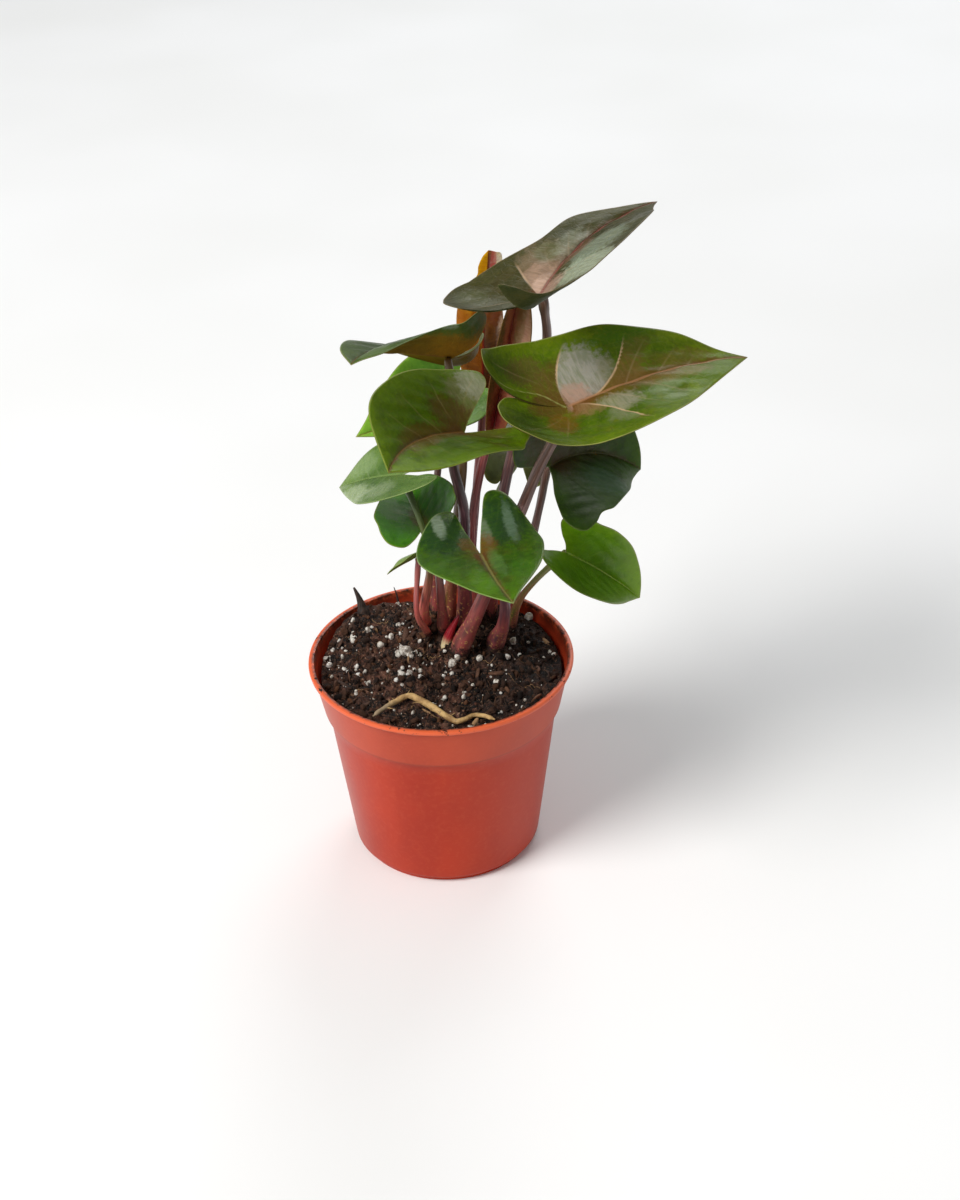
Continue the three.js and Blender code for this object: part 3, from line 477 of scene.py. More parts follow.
# Places and radii of the largest perlite grains, and the middles of the groups of small ones.
PERLITE = [
    (-8, 3.6, 1.35), (-9.2, 5, 1.0), (-7, 2.2, 0.9), (-9.6, 3.2, 0.8), (-20, 10, 0.9),
    (-16.5, 10.3, 0.75), (-11.2, 8.7, 0.75), (-26, 4.2, 0.85), (-25.6, 1.8, 0.7),
    (-18.8, -1.7, 0.8), (-16.5, -4.3, 0.6), (-9.1, -3.5, 0.85), (-7.4, -4.2, 0.8), (-13.9, 6.3, 0.8),
    (2.4, -1, 1.0), (3.6, 0, 0.7), (8.8, 0.6, 0.7), (15, 0.9, 0.7), (16.6, 5.8, 0.9), (20.8, 16.9, 1.0),
    (4.8, -10.5, 0.6), (12, -5.2, 0.6), (5.9, -22.2, 0.75), (25, 4.7, 0.5), (-20.1, 14.8, 0.6),
]
GRAIN_GROUPS = [(-8, 4), (-8, 11.5), (-18, 10), (-8, -3.5), (-24, 3), (3, -1), (-20, -2)]
# Loose bits strewn on the peat: seed, how many, how far out they lie and how clear of stalks.
CRUMBS = {"seed": 21, "count": 1700, "reach": 26.8, "clear": 0.1}
SMALL_PERLITE = {"seed": 33, "count": 230, "reach": 26.4, "clear": 0.4}
BARK = {"seed": 47, "count": 90, "reach": 26, "clear": 0.6}
FIBRES = {"seed": 58, "count": 260, "reach": 25.5, "clear": 0.4, "end": 27}
ROOTLETS = {"seed": 12, "count": 9}
CRUMBS_AT_STALK = 16
PAINTED_SHADE_SPAN = (0.002, 0.016)  # between these places along x, in metres, painted shade darkens the peat and its crumbs towards the right

# The camera: the point it turns to, its distance and lens in mm, angles in degrees. focal,
# tall, centre and target_at are in pixels of a picture 960 wide and 1200 tall.
VIEW = {
    "target": (0, 0, 49), "away": 450, "climb": 34, "roll": -2.37, "focal": 1988,
    "tall": 1200, "centre": (480, 600), "target_at": (441, 654),
}
SENSOR = 36
AIR = {"colour": (0.96, 0.98, 1.0, 1), "strength": 0.31}
FLOOR_REACH = 3
LIGHT_AIM = Vector((0.01, 0, 0.08))
# Each light: name, place and size in metres, watts, colour.
LIGHTS = [
    ("key_light", (-0.8, -0.55, 0.95), 0.7, 17.5, (1.0, 0.985, 0.96)),
    ("back_light", (0.35, 0.95, 0.9), 0.8, 6, (0.97, 0.99, 1.0)),
    ("side_light", (0.95, -0.5, 0.5), 0.8, 0.7, (1.0, 0.97, 0.95)),
]

# ---------------------------------------------------------------- paint and shader sums


def paint(code):
    """A colour written as six hex digits, as the shader wants it."""
    parts = [int(code[i:i + 2], 16) / 255 for i in (0, 2, 4)]
    return [p / 12.92 if p < 0.04045 else ((p + 0.055) / 1.055) ** 2.4 for p in parts] + [1]


class Wire:
    """A socket in a finish. Sums of wires add their Math nodes."""

    def __init__(self, tree, socket=None):
        self.tree = tree
        self.socket = socket

    def node(self, kind, settings=None, sockets=None, out=0):
        made = self.tree.nodes.new(kind)
        for key, value in (settings or {}).items():
            setattr(made, key, value)
        for key, value in (sockets or {}).items():
            if isinstance(value, Wire):
                self.tree.links.new(value.socket, made.inputs[key])
            else:
                made.inputs[key].default_value = value
        return Wire(self.tree, made.outputs[out])

    def maths(self, operation, *others):
        terms = dict(enumerate((self, *others)))
        return self.node("ShaderNodeMath", {"operation": operation}, terms)

    def __add__(self, other):
        return self.maths("ADD", other)

    def __mul__(self, other):
        return self.maths("MULTIPLY", other)

    def __sub__(self, other):
        return self.maths("SUBTRACT", other)

    def __truediv__(self, other):
        return self.maths("DIVIDE", other)

    __radd__ = __add__

    def squared(self):
        return self * self

    def fade(self, start, end, low=0.0, high=1.0):
        """low before start and high after end, with a soft step between them."""
        return self.node(
            "ShaderNodeMapRange", {"interpolation_type": "SMOOTHSTEP"},
            {0: self, 1: start, 2: end, 3: low, 4: high})

    def mix(self, first, second, amount):
        """The first colour where amount is 0, the second where it is 1."""
        return self.node(
            "ShaderNodeMix", {"data_type": "RGBA"}, {0: amount, 6: first, 7: second}, out=2)

    def blend(self, first, second, amount):
        """The same for two colours written as hex digits."""
        return self.mix(paint(first), paint(second), amount)

    def coat(self, code, amount):
        """This colour with another laid over it as strongly as amount says."""
        return self.mix(self, paint(code), amount)

    def place(self):
        """Where a point is on the part, in metres."""
        return self.node("ShaderNodeTexCoord", out=3)

    def mark(self, name):
        """The three numbers that a mesh keeps under this name."""
        vector = self.node("ShaderNodeAttribute", {"attribute_name": name}, out=1)
        return vector, *vector.parts()

    def parts(self):
        """The x, y and z of this vector."""
        split = self.node("ShaderNodeSeparateXYZ", sockets={0: self}).socket.node
        return [Wire(self.tree, output) for output in split.outputs]

    def stretch(self, x, y, z):
        return self.node(
            "ShaderNodeVectorMath", {"operation": "MULTIPLY"}, {0: self, 1: (x, y, z)})

    def clouds(self, scale, detail=3.0, roughness=0.55):
        """Soft noise over this vector, about 0.25 to 0.75."""
        return self.node("ShaderNodeTexNoise", sockets={
            "Vector": self, "Scale": scale, "Detail": detail, "Roughness": roughness})

    def bump(self, height_mm, strength=1.0):
        return self.node("ShaderNodeBump", sockets={
            "Strength": strength, "Distance": height_mm * MM, "Height": self})


def finish(name, surface, **even):
    """A finish: surface(wire) gives its colour, roughness and normal, even holds the rest."""
    made = bpy.data.materials.new(name)
    made.use_nodes = True
    shader = made.node_tree.nodes["Principled BSDF"]
    for socket, value in even.items():
        shader.inputs[socket.replace("_", " ")].default_value = value
    for socket, wire in zip(("Base Color", "Roughness", "Normal"), surface(Wire(made.node_tree))):
        made.node_tree.links.new(wire.socket, shader.inputs[socket])
    return made


# ---------------------------------------------------------------- meshes and paths


def piece(name, points, faces, material, marks=None, stands_for=None):
    """A smooth-shaded mesh from points in millimetres, riding on the plant."""
    mesh = bpy.data.meshes.new(name)
    mesh.from_pydata((np.asarray(points, float) * MM).tolist(), [], faces)
    for key, rows in (marks or {}).items():
        layer = mesh.attributes.new(key, "FLOAT_VECTOR", "POINT")
        layer.data.foreach_set("vector", np.asarray(rows, np.float32).ravel())
    mesh.polygons.foreach_set("use_smooth", [True] * len(mesh.polygons))
    mesh.materials.append(material)
    made = bpy.data.objects.new(name, mesh)
    bpy.context.scene.collection.objects.link(made)
    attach(made, "root")
    if stands_for:
        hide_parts(stands_for)
    return made


def smooth_path(points, steps):
    """Evenly spaced points on the smooth curve through the given ones."""
    keys = [np.array(p, float) for p in points]
    keys = [2 * keys[0] - keys[1], *keys, 2 * keys[-1] - keys[-2]]
    fine = []
    for a, b, c, d in zip(keys, keys[1:], keys[2:], keys[3:]):
        gaps = [max(np.linalg.norm(q - p), 1e-6) ** 0.5 for p, q in ((a, b), (b, c), (c, d))]
        start = (b - a) / gaps[0] - (c - a) / (gaps[0] + gaps[1]) + (c - b) / gaps[1]
        end = (c - b) / gaps[1] - (d - b) / (gaps[1] + gaps[2]) + (d - c) / gaps[2]
        start, end = start * gaps[1], end * gaps[1]
        for t in np.linspace(0, 1, 40, endpoint=False):
            fine.append(
                b + start * t + (-3 * b + 3 * c - 2 * start - end) * t ** 2
                + (2 * b - 2 * c + start + end) * t ** 3)
    fine = np.array(fine + [keys[-2]])
    runs = np.concatenate([[0], np.cumsum(np.linalg.norm(np.diff(fine, axis=0), axis=1))])
    stops = np.linspace(0, runs[-1], steps + 1)
    return np.stack([np.interp(stops, runs, fine[:, k]) for k in range(3)], axis=1), runs[-1]


def ring_faces(sides, rings):
    """Faces of a closed skin: point 0, then rings of points, then the last point."""
    last = 1 + rings * sides
    faces = []
    for i in range(sides):
        j = (i + 1) % sides
        faces.append((0, 1 + j, 1 + i))
        faces.append((last, last - sides + i, last - sides + j))
        for ring in range(rings - 1):
            a, b = 1 + ring * sides, 1 + (ring + 1) * sides
            faces.append((a + i, a + j, b + j, b + i))
    return faces


def tube(path, radii, sides, groove=0.0):
    """Points, faces and (turn, share along) of a closed tube round a path."""
    path = np.asarray(path, float)
    ahead = np.gradient(path, axis=0)
    ahead /= np.linalg.norm(ahead, axis=1)[:, None]
    across = np.cross(ahead[0], [0.31, -0.95, 0.1])
    points, marks = [path[:1]], [np.zeros((1, 3))]
    turns = np.linspace(0, 2 * math.pi, sides, endpoint=False)
    hollow = 1 - groove * np.exp(-((turns - math.pi) / 0.45) ** 2)
    for i, (centre, forward) in enumerate(zip(path, ahead)):
        across = across - forward * np.dot(across, forward)
        across /= np.linalg.norm(across)
        other = np.cross(forward, across)
        ring = np.cos(turns)[:, None] * across + np.sin(turns)[:, None] * other
        points.append(centre + ring * (radii[i] * hollow)[:, None])
        share = i / (len(path) - 1)
        marks.append(np.stack([np.cos(turns), np.sin(turns), np.full(sides, share)], axis=1))
    points.append(path[-1:])
    marks.append(np.array([[0.0, 0.0, 1.0]]))
    return np.concatenate(points), ring_faces(sides, len(path)), np.concatenate(marks)


def lathe(profile, sides):
    """Points and faces turned round the z axis; the profile starts and ends on it."""
    turns = np.linspace(0, 2 * math.pi, sides, endpoint=False)
    points = [[0, 0, profile[0][1]]]
    for radius, z in profile[1:-1]:
        points.extend([radius * math.cos(a), radius * math.sin(a), z] for a in turns)
    points.append([0, 0, profile[-1][1]])
    return points, ring_faces(sides, len(profile) - 2)


def joined(shapes):
    """Several (points, faces, marks) as one."""
    points, faces, marks, count = [], [], [], 0
    for shape_points, shape_faces, shape_marks in shapes:
        points.append(shape_points)
        marks.append(shape_marks)
        faces.extend(tuple(count + k for k in face) for face in shape_faces)
        count += len(shape_points)
    return np.concatenate(points), faces, np.concatenate(marks)


# ---------------------------------------------------------------- blades


def blade_axes(leaf):
    """Forward, left and upward directions of a blade at its joint."""
    a, p, r = (math.radians(leaf[key]) for key in ("heading", "pitch", "roll"))
    forward = np.array([math.cos(p) * math.cos(a), math.cos(p) * math.sin(a), math.sin(p)])
    level = np.array([-math.sin(a), math.cos(a), 0])
    above = np.cross(forward, level)
    left = level * math.cos(r) + above * math.sin(r)
    return forward, left, above * math.cos(r) - level * math.sin(r)


def arrow_half(length, width, lobe, splay, taper):
    """Half of an arrowhead outline, from near the tip round the lobe to near the joint."""
    return [
        [0.84 * length, 0.24 * width * taper],
        [0.62 * length, 0.55 * width * (0.4 + 0.6 * taper)],
        [0.36 * length, 0.84 * width],
        [0.08 * length, width],
        [-0.25 * lobe, 0.98 * width],
        [-0.62 * lobe, (0.5 * splay + 0.62) * width],
        [-0.93 * lobe, (splay + 0.16) * width],
        [-0.97 * lobe, (splay - 0.14) * width],
        [-0.66 * lobe, 0.52 * (splay - 0.1) * width],
        [-0.3 * lobe, 0.26 * (splay - 0.2) * width],
    ]


def half_outline(leaf, side, steps):
    """The half outline as points on a smooth curve, tip and joint included."""
    half = 0 if side > 0 else 1
    if "outline" in leaf:
        keys = leaf["outline"]["left" if side > 0 else "right"]
    else:
        keys = arrow_half(
            leaf["length"], leaf["width"], leaf["lobes"][half], leaf["splay"][half],
            leaf["taper"])
    keys = np.array([[leaf["length"], 0], *keys, [SINUS, 0]], float)
    keys = np.array([2 * keys[0] - keys[1], *keys, 2 * keys[-1] - keys[-2]])
    out = []
    for a, b, c, d in zip(keys, keys[1:], keys[2:], keys[3:]):
        for t in np.arange(steps) / steps:
            out.append(0.5 * (
                2 * b + (c - a) * t + (2 * a - 5 * b + 4 * c - d) * t ** 2
                + (3 * b - a - 3 * c + d) * t ** 3))
    return np.array(out + [keys[-2]])


def bent(leaf, side, u, v):
    """Points of the flat blade, u along its midrib and v out from it, carried to their place."""
    half = (side < 0).astype(int)
    length, width = leaf["length"], leaf["width"]
    fold = np.radians(np.array(leaf["fold"], float))[half]
    cup = math.radians(leaf["cup"]) / width + 1e-6
    across = side * (np.sin(fold + cup * v) - np.sin(fold)) / cup
    rise = (np.cos(fold) - np.cos(fold + cup * v)) / cup
    turn = math.radians(leaf["twist"]) * u / length
    across, rise = (across * np.cos(turn) - rise * np.sin(turn),
                    across * np.sin(turn) + rise * np.cos(turn))
    reach = np.minimum(np.hypot(u / length, v / width), 1.4)
    height, count, phase = leaf["wave"]
    rise = rise + height * reach ** 2 * np.sin(
        count * np.arctan2(side * v / width, u / length) + math.radians(phase))
    lobes = np.array(leaf["lobes"], float)[half]
    lift = np.radians(np.array(leaf["lift"], float))[half]
    bend = np.where(u >= 0, -math.radians(leaf["arch"]) / length, -lift / lobes) + 1e-9
    way = np.where(u >= 0, 1, -1)
    tilt = bend * np.abs(u)
    along = way * np.sin(tilt) / bend - rise * np.sin(tilt)
    lifted = way * (1 - np.cos(tilt)) / bend + rise * np.cos(tilt)
    sweep = math.radians(leaf["sweep"]) / length + 1e-9
    swept = np.maximum(along, -0.3 * length)
    angle = sweep * swept
    x = np.sin(angle) / sweep + (along - swept) * np.cos(angle) - across * np.sin(angle)
    y = (1 - np.cos(angle)) / sweep + (along - swept) * np.sin(angle) + across * np.cos(angle)
    place = np.stack([x, y, lifted], axis=1)
    return np.array(leaf["joint"], float) + place @ np.array(blade_axes(leaf))


def normals_of(leaf, side, u, v):
    """Upward normals of the bent blade; the crease at the midrib is rounded off."""
    step = 0.05

    def half_normal(half):
        du = bent(leaf, half, u + step, v) - bent(leaf, half, u - step, v)
        dv = bent(leaf, half, u, v + step) - bent(leaf, half, u, v)
        normal = np.cross(du, dv) * half[:, None]
        return normal / np.linalg.norm(normal, axis=1)[:, None]

    own = (0.5 + 0.5 * np.clip(np.abs(v) / 0.9, 0, 1))[:, None]
    normal = own * half_normal(side) + (1 - own) * half_normal(-side)
    return normal / np.linalg.norm(normal, axis=1)[:, None]


def vein_lines(name, leaf, half):
    """The side veins of one half, from the lobe's to the tip's, and how strongly each shows."""
    length, width, lobe = leaf["length"], leaf["width"], leaf["lobes"][half]
    if name in OWN_VEINS:
        keys = np.array(OWN_VEINS[name][half])
    else:
        draw = np.random.default_rng(len(name) * 7 + half)
        on_lobe = np.array(LOBE_VEINS) * [lobe, lobe, width, lobe, width, 1]
        ahead = np.array(PLAIN_VEINS) * [length, length, width, length, width, 1]
        ahead[:, :4:3] += draw.uniform(-0.025, 0.025, (len(ahead), 2)) * length
        keys = np.concatenate([on_lobe, ahead])
    lines = []
    for start, middle_u, middle_v, end_u, end_v, _ in keys:
        t = np.linspace(-0.1, 1.1, 25)[:, None]
        line = ((1 - t) * (1 - 2 * t) * [start, 0] + 4 * t * (1 - t) * [middle_u, middle_v]
                + t * (2 * t - 1) * [end_u, end_v])
        lines.append(np.vstack([line, 9 * line[-1] - 8 * line[-2]]))
    return lines, keys[:, 5]


def past(line, u, v):
    """Distance of each point to a line of points, above zero on the tip's side of it."""
    nearest = np.full(len(u), 1e9)
    out = np.zeros(len(u))
    for start, end in zip(line, line[1:]):
        way = end - start
        share = np.clip(((u - start[0]) * way[0] + (v - start[1]) * way[1]) / (way @ way), 0, 1)
        du, dv = u - start[0] - share * way[0], v - start[1] - share * way[1]
        far = np.hypot(du, dv)
        signed = np.where(way[1] * du - way[0] * dv >= 0, far, -far)
        out = np.where(far < nearest, signed, out)
        nearest = np.minimum(nearest, far)
    return out


def vein_phase(name, leaf, side, u, v):
    """Place of each point between its two side veins: phase, gap in mm and their strength.

    The phase is a whole number on each vein: 0 on the lobe's vein, more towards the tip.
    """
    phase, gap, show = np.zeros(len(u)), np.zeros(len(u)), np.zeros(len(u))
    for half, way in enumerate((LEFT, RIGHT)):
        own = np.flatnonzero(side == way)
        lines, strengths = vein_lines(name, leaf, half)
        gone = np.array([past(line, u[own], v[own]) for line in lines])
        behind = (gone > 0).sum(axis=0)
        edge = np.full((1, len(own)), OUTER_GAP)
        far = np.abs(np.concatenate([edge, gone, edge]))
        columns = np.arange(len(own))
        before, after = far[behind, columns], far[behind + 1, columns]
        first, last = behind == 0, behind == len(lines)
        before = np.where(first, np.maximum(OUTER_GAP - after, after), before)
        after = np.where(last, np.maximum(OUTER_GAP - before, before), after)
        share = before / (before + after)
        phase[own] = behind - 1 + share
        gap[own] = before + after
        soft = np.clip((share - 0.35) / 0.3, 0, 1)
        strength = np.concatenate([strengths[:1], strengths, strengths[-1:]])
        show[own] = strength[behind] * (1 - soft) + strength[behind + 1] * soft
    return phase, gap, show


def distance_to(outline, u, v):
    """Distance of each point to the nearest outline point."""
    gaps = np.hypot(u[:, None] - outline[None, :, 0], v[:, None] - outline[None, :, 1])
    return gaps.min(axis=1)


def blade_faces(count, rings):
    """Faces of the upper and the lower skin, each from its joint out, and of the margin."""
    total = 1 + rings * count
    faces = []
    for i in range(count):
        j = (i + 1) % count
        faces.append((0, 1 + i, 1 + j))
        faces.append((total, total + 1 + j, total + 1 + i))
        for ring in range(rings - 1):
            a, b = 1 + ring * count, 1 + (ring + 1) * count
            faces.append((a + i, b + i, b + j, a + j))
            faces.append((total + a + i, total + a + j, total + b + j, total + b + i))
        last = 1 + (rings - 1) * count
        faces.append((last + i, total + last + i, total + last + j, last + j))
    return faces


def blade(name, leaf, material):
    """A thin veined blade: rings of points run out from the joint to the margin."""
    steps, rings = next(fine for longer, *fine in BLADE_DETAIL if leaf["length"] > longer)
    left, right = half_outline(leaf, LEFT, steps), half_outline(leaf, RIGHT, steps)
    edge = np.concatenate([left, right[1:-1][::-1]])
    sides = np.concatenate([np.ones(len(left)), -np.ones(len(right) - 2)])
    shares = np.linspace(0, 1, rings + 1)[1:] ** 0.9
    u = np.concatenate([[0], np.outer(shares, edge[:, 0]).ravel()])
    v = np.concatenate([[0], np.outer(shares, edge[:, 1]).ravel()])
    v = np.where(u < SINUS, v, np.maximum(v, 0))
    side = np.concatenate([[1], np.tile(sides, rings)])
    rim = np.where(side > 0, distance_to(left, u, v), distance_to(right, u, v))
    middle = bent(leaf, side, u, v)
    normal = normals_of(leaf, side, u, v)
    phase, gap, show = vein_phase(name, leaf, side, u, v)
    grown = np.clip(rim / 5, 0, 1) * np.clip(np.hypot(u, v) / 9, 0, 1) * (leaf["length"] / 40)
    swell = VEIN_SWELL * np.sin(math.pi * phase) ** 2 * grown * np.clip(gap / 4, 0, 1)
    ripple = RIPPLE_HEIGHT * np.sin(0.55 * u + 1.1 * side * v) * np.cos(0.7 * v - 0.2 * u) * grown
    middle = middle + normal * (swell + ripple)[:, None]
    groove = MIDRIB_GROOVE["deep"] * np.exp(-(v / MIDRIB_GROOVE["half_width"]) ** 2)
    groove = groove * (u > -SINUS) * np.clip(rim / 3, 0, 1)
    thick = EDGE_THICKNESS + (BLADE_THICKNESS - EDGE_THICKNESS) * np.clip(rim / 1.5, 0, 1)
    upper = middle + normal * (thick / 2 - groove)[:, None]
    lower = middle - normal * (thick / 2 + 1.1 * groove)[:, None]
    ground = np.stack([u, side * v, rim], axis=1)
    veins = np.stack([phase, gap, show], axis=1)
    under = np.repeat([[0, 0, 0], [1, 1, 1]], len(u), axis=0)
    marks = {"ground": np.tile(ground, (2, 1)), "veins": np.tile(veins, (2, 1)), "under": under}
    return piece(f"{name}_veined_blade", np.concatenate([upper, lower]),
                 blade_faces(len(edge), rings), material, marks, f"{name}_blade")


def patched(skin, patches, along, across, ahead, phase, ragged, crinkled):
    """A skin with soft-edged oval patches on it, each within its own half and veins."""
    for way, middle, out_to, long, wide, code, amount, *veins in patches:
        low, high = veins or (OPEN, SHUT)
        from_middle = (((along - middle) / long).squared()
                       + ((across * way - out_to) / wide).squared()).maths("SQRT")
        spot = (from_middle + ragged).fade(0.6, 1.15, 1, 0) * crinkled
        if low > OPEN:
            spot = spot * phase.fade(low - 0.03, low + 0.03)
        if high < SHUT:
            spot = spot * phase.fade(high - 0.03, high + 0.03, 1, 0)
        # ahead of the joint a patch keeps to its own half, on a lobe it may cross the midrib
        spot = spot * (across * way - ahead * LOBE_REACH).fade(
            -LOBE_REACH - 0.05, -LOBE_REACH + 0.05)
        skin = skin.coat(code, spot * amount)
    return skin


def blade_finish(name):
    """Glossy leaf skin: veins, a thin pale margin that is partly a painted highlight, a red
    flush by the midrib, and patches, among them silvery cells of painted sheen.
    """
    look, length = LOOKS[name], LEAVES[name]["length"]

    def surface(wire):
        ground, along, across, rim = wire.mark("ground")
        _, phase, gap, show = wire.mark("veins")
        under = wire.mark("under")[1]
        out = across.maths("ABSOLUTE")
        broad = ground.clouds(0.11, 3)
        fine = ground.clouds(0.75, 4, 0.6)
        streaks = ground.stretch(1.6, 0.3, 0).clouds(0.9, 3)
        ahead = along.fade(-1.0, 0.5)
        midrib_width = along.fade(0, length, 0.5, 0.2)
        midrib = out.fade(midrib_width * 0.3, midrib_width, 1, 0) * ahead
        from_vein = ((phase + 0.5).maths("FRACT") - 0.5).maths("ABSOLUTE") * gap
        side_vein = from_vein.fade(0.05, 0.34, 1, 0) * rim.fade(1.5, 7) * show
        net = ground.node("ShaderNodeTexVoronoi", {"feature": "DISTANCE_TO_EDGE"},
                          {"Vector": ground, "Scale": 0.5, "Randomness": 1.0})
        mesh_vein = net.fade(0.0, 0.08, 1, 0)

        skin = wire.blend(look["deep"], look["green"], broad.fade(0.3, 0.62))
        toward_rim = (rim + (broad - 0.5) * 6).fade(0, 7, 1, 0)
        toward_tip = along.fade(length * 0.3, length)
        lit = (toward_rim * 0.6 + toward_tip * 0.4) * look["rim_amount"]
        lit = lit + (fine * 0.5 + broad * 0.5).fade(0.48, 0.7) * 0.3
        skin = skin.coat(look["light"], lit.fade(0, 1.1))
        mottled = (fine * 0.55 + streaks * 0.45).fade(0.42, 0.6)
        skin = skin.coat(look["light"], mottled * 0.16)
        dusky = ground.clouds(0.3, 3, 0.6).fade(0.5, 0.66)
        skin = skin.coat(look["deep"], dusky * 0.4)

        from_joint = (along * along + out * out).maths("SQRT")
        reach = along.fade(0, length, look["flush_reach"], 0.9)
        ragged = (fine - 0.5) * 2.6 + (broad - 0.5) * 2
        by_midrib = (out + ragged).fade(reach * 0.1, reach, 1, 0) * ahead
        by_joint = (from_joint + ragged).fade(0.5, look["flush_round"], 1, 0)
        clouded = broad.fade(0.52, 0.7) * rim.fade(1, 5)
        flush = (by_midrib * 0.75 + by_joint * 0.6 + clouded * 0.35) * look["flush_amount"]
        skin = skin.coat(look["flush"], flush.fade(0, 1.15))

        edge = (fine - 0.5) * 1.1 + (streaks - 0.5) * 0.7
        crinkled = 0.62 + streaks.fade(0.34, 0.62) * 0.38
        ground_plan = (along, across, ahead, phase, edge, crinkled)
        skin = patched(skin, look["patches"], *ground_plan)
        skin = skin.coat(look["vein"], mesh_vein * 0.03)
        skin = skin.coat(look["vein"], side_vein * 0.9)
        skin = skin.coat(look["rib"], midrib * 0.7)
        # the margin's pale line: the edge's own colour and a painted highlight on the blade's thin edge
        skin = skin.coat(look["margin"], rim.fade(0.05, 0.32, 0.7, 0))
        below = wire.blend(look["under"], look["under_light"], broad.fade(0.35, 0.65))
        below = patched(below, look["under_patches"], *ground_plan)
        below = below.coat(look["rib"], (midrib + side_vein * 0.6).fade(0, 1.3))

        height = (side_vein * -0.4 - midrib * 0.4 - mesh_vein * 0.1
                  + ground.clouds(0.35, 2) * 0.9 + fine * 0.2)
        rough = fine.fade(0.3, 0.7, 0.3, 0.42) + side_vein * 0.1 + under * 0.2
        return (wire.mix(skin, below, under), rough * look["rough"],
                (height * look["crinkle"]).bump(0.22, 0.6))

    return finish(
        f"{name}_skin", surface, Coat_Weight=0.04, Coat_Roughness=0.25,
        Specular_IOR_Level=look["shine"], Specular_Tint=(1.0, 0.96, 0.62, 1),
        Subsurface_Weight=look["glow"], Subsurface_Scale=0.0015,
        Subsurface_Radius=(1.0, 0.8, 0.3))


# ---------------------------------------------------------------- stalks


def stalk_way(leaf):
    """The way of a stalk from under the soil up, and its tip close under the visible blade."""
    zero = np.zeros(1)
    upward = normals_of(leaf, np.ones(1), zero, zero)[0]
    foot, *way = leaf["stalk"]
    joint = np.array(leaf["joint"], float)
    below = SOLID_THICKNESS / 2 + GAP + 0.5 * leaf["thick"][1]
    points = [[*foot, SOIL_LEVEL - STALK_DEPTH], [*foot, SOIL_LEVEL + 2], *way,
              joint - upward * below]
    return points, joint - upward * 0.2


def swelling(distance, kind):
    """How much a stalk swells at each distance."""
    return kind["swell"] * np.exp(-((distance - kind["middle"]) / kind["spread"]) ** 2)


def stalk(name, leaf, material):
    """A fleshy stalk with a swollen sheathing base, a channel and a knuckle under the blade."""
    points, tip = stalk_way(leaf)
    path, run = smooth_path(points, 64)
    share = np.linspace(0, 1, len(path))
    foot, end = leaf["thick"]
    radii = end + (foot - end) * (1 - share) ** 1.6
    sheath = swelling(path[:, 2] - SOIL_LEVEL, SHEATH) * np.clip(foot - 1, 0, 1)
    knuckle = swelling((1 - share) * run, KNUCKLE) * end
    wobble = np.array([noise.noise(Vector((foot * 9, s * run * 0.12, end))) for s in share])
    radii = radii + sheath + knuckle + 0.08 * wobble * foot
    last = path[-1] + (tip - path[-1]) * np.array([[0.4], [0.8], [1.0]])
    path = np.concatenate([path, last])
    radii = np.concatenate([radii, end * np.array([0.98, 0.85, 0.6])])
    points, faces, marks = tube(path, radii, 20, 0.16)
    height = points[:, 2] - soil_height(*leaf["stalk"][0]) - 1.2
    grain = marks * [1, 1, run * 0.11]
    place = np.stack([marks[:, 2], height, marks[:, 0]], axis=1)
    return piece(f"{name}_fleshy_stalk", points, faces, material,
                 {"grain": grain, "stem": place}, f"{name}_stalk")


def stalk_finish(kind):
    """Smooth stalk skin with lengthwise streaks, redder and dusted with grit at its base, and
    darker just above the soil.
    """
    dark, body, pale, base, green, green_from, green_amount = STALK_PAINTS[kind]

    def surface(wire):
        grain = wire.mark("grain")[0]
        _, share, height, _ = wire.mark("stem")
        place = wire.place()
        streak = grain.stretch(2.2, 2.2, 0.5).clouds(1.6, 4, 0.6)
        cloud = grain.clouds(0.9, 2)
        skin = wire.blend(dark, body, streak.fade(0.36, 0.6))
        skin = skin.coat(pale, streak.fade(0.55, 0.72, 0, 0.75))
        greened = share.fade(green_from - 0.3, green_from + 0.2) * green_amount
        skin = skin.coat(green, greened)
        low = (height + (cloud - 0.5) * 12).fade(2, 27, 1, 0)
        skin = wire.mix(skin, wire.blend(base, body, cloud.fade(0.42, 0.7)), low * 0.85)
        specks = place.clouds(1500, 1).fade(0.62, 0.66) * height.fade(5, 15, 1, 0)
        skin = skin.coat("D2A662", specks * 0.85)
        # darker and rougher within a few mm above the soil line
        dark_above_soil = (height + (place.clouds(1000, 2, 0.7) - 0.5) * 7).fade(0.2, 3, 1, 0)
        skin = skin.coat("1E140F", dark_above_soil * 0.9)
        return (skin, 0.34 + streak * 0.15 + dark_above_soil * 0.4,
                (streak * 0.7 + specks * 0.5).bump(0.16, 0.6))

    return finish(f"{kind}_stalk", surface, Coat_Weight=0.12, Coat_Roughness=0.25)


# ---------------------------------------------------------------- bud and loose root


def bud(material):
    foot, tip = np.array(BUD["foot"]), np.array(BUD["tip"])
    middle = (foot + tip) / 2 + [-0.6, 0, 0.3]
    path, _ = smooth_path([foot, middle, tip], 40)
    share = np.linspace(0, 1, len(path))
    radii = 0.12 + BUD["radius"] * 1.12 * np.sqrt(np.clip(1 - share ** 1.7, 0, 1))
    radii *= 0.82 + 0.18 * np.sin(math.pi * np.clip(share * 1.3, 0, 1))
    points, faces, marks = tube(path, radii, 20, 0.1)
    return piece("pointed_bud", points, faces, material, {"stem": marks}, "red_bud")


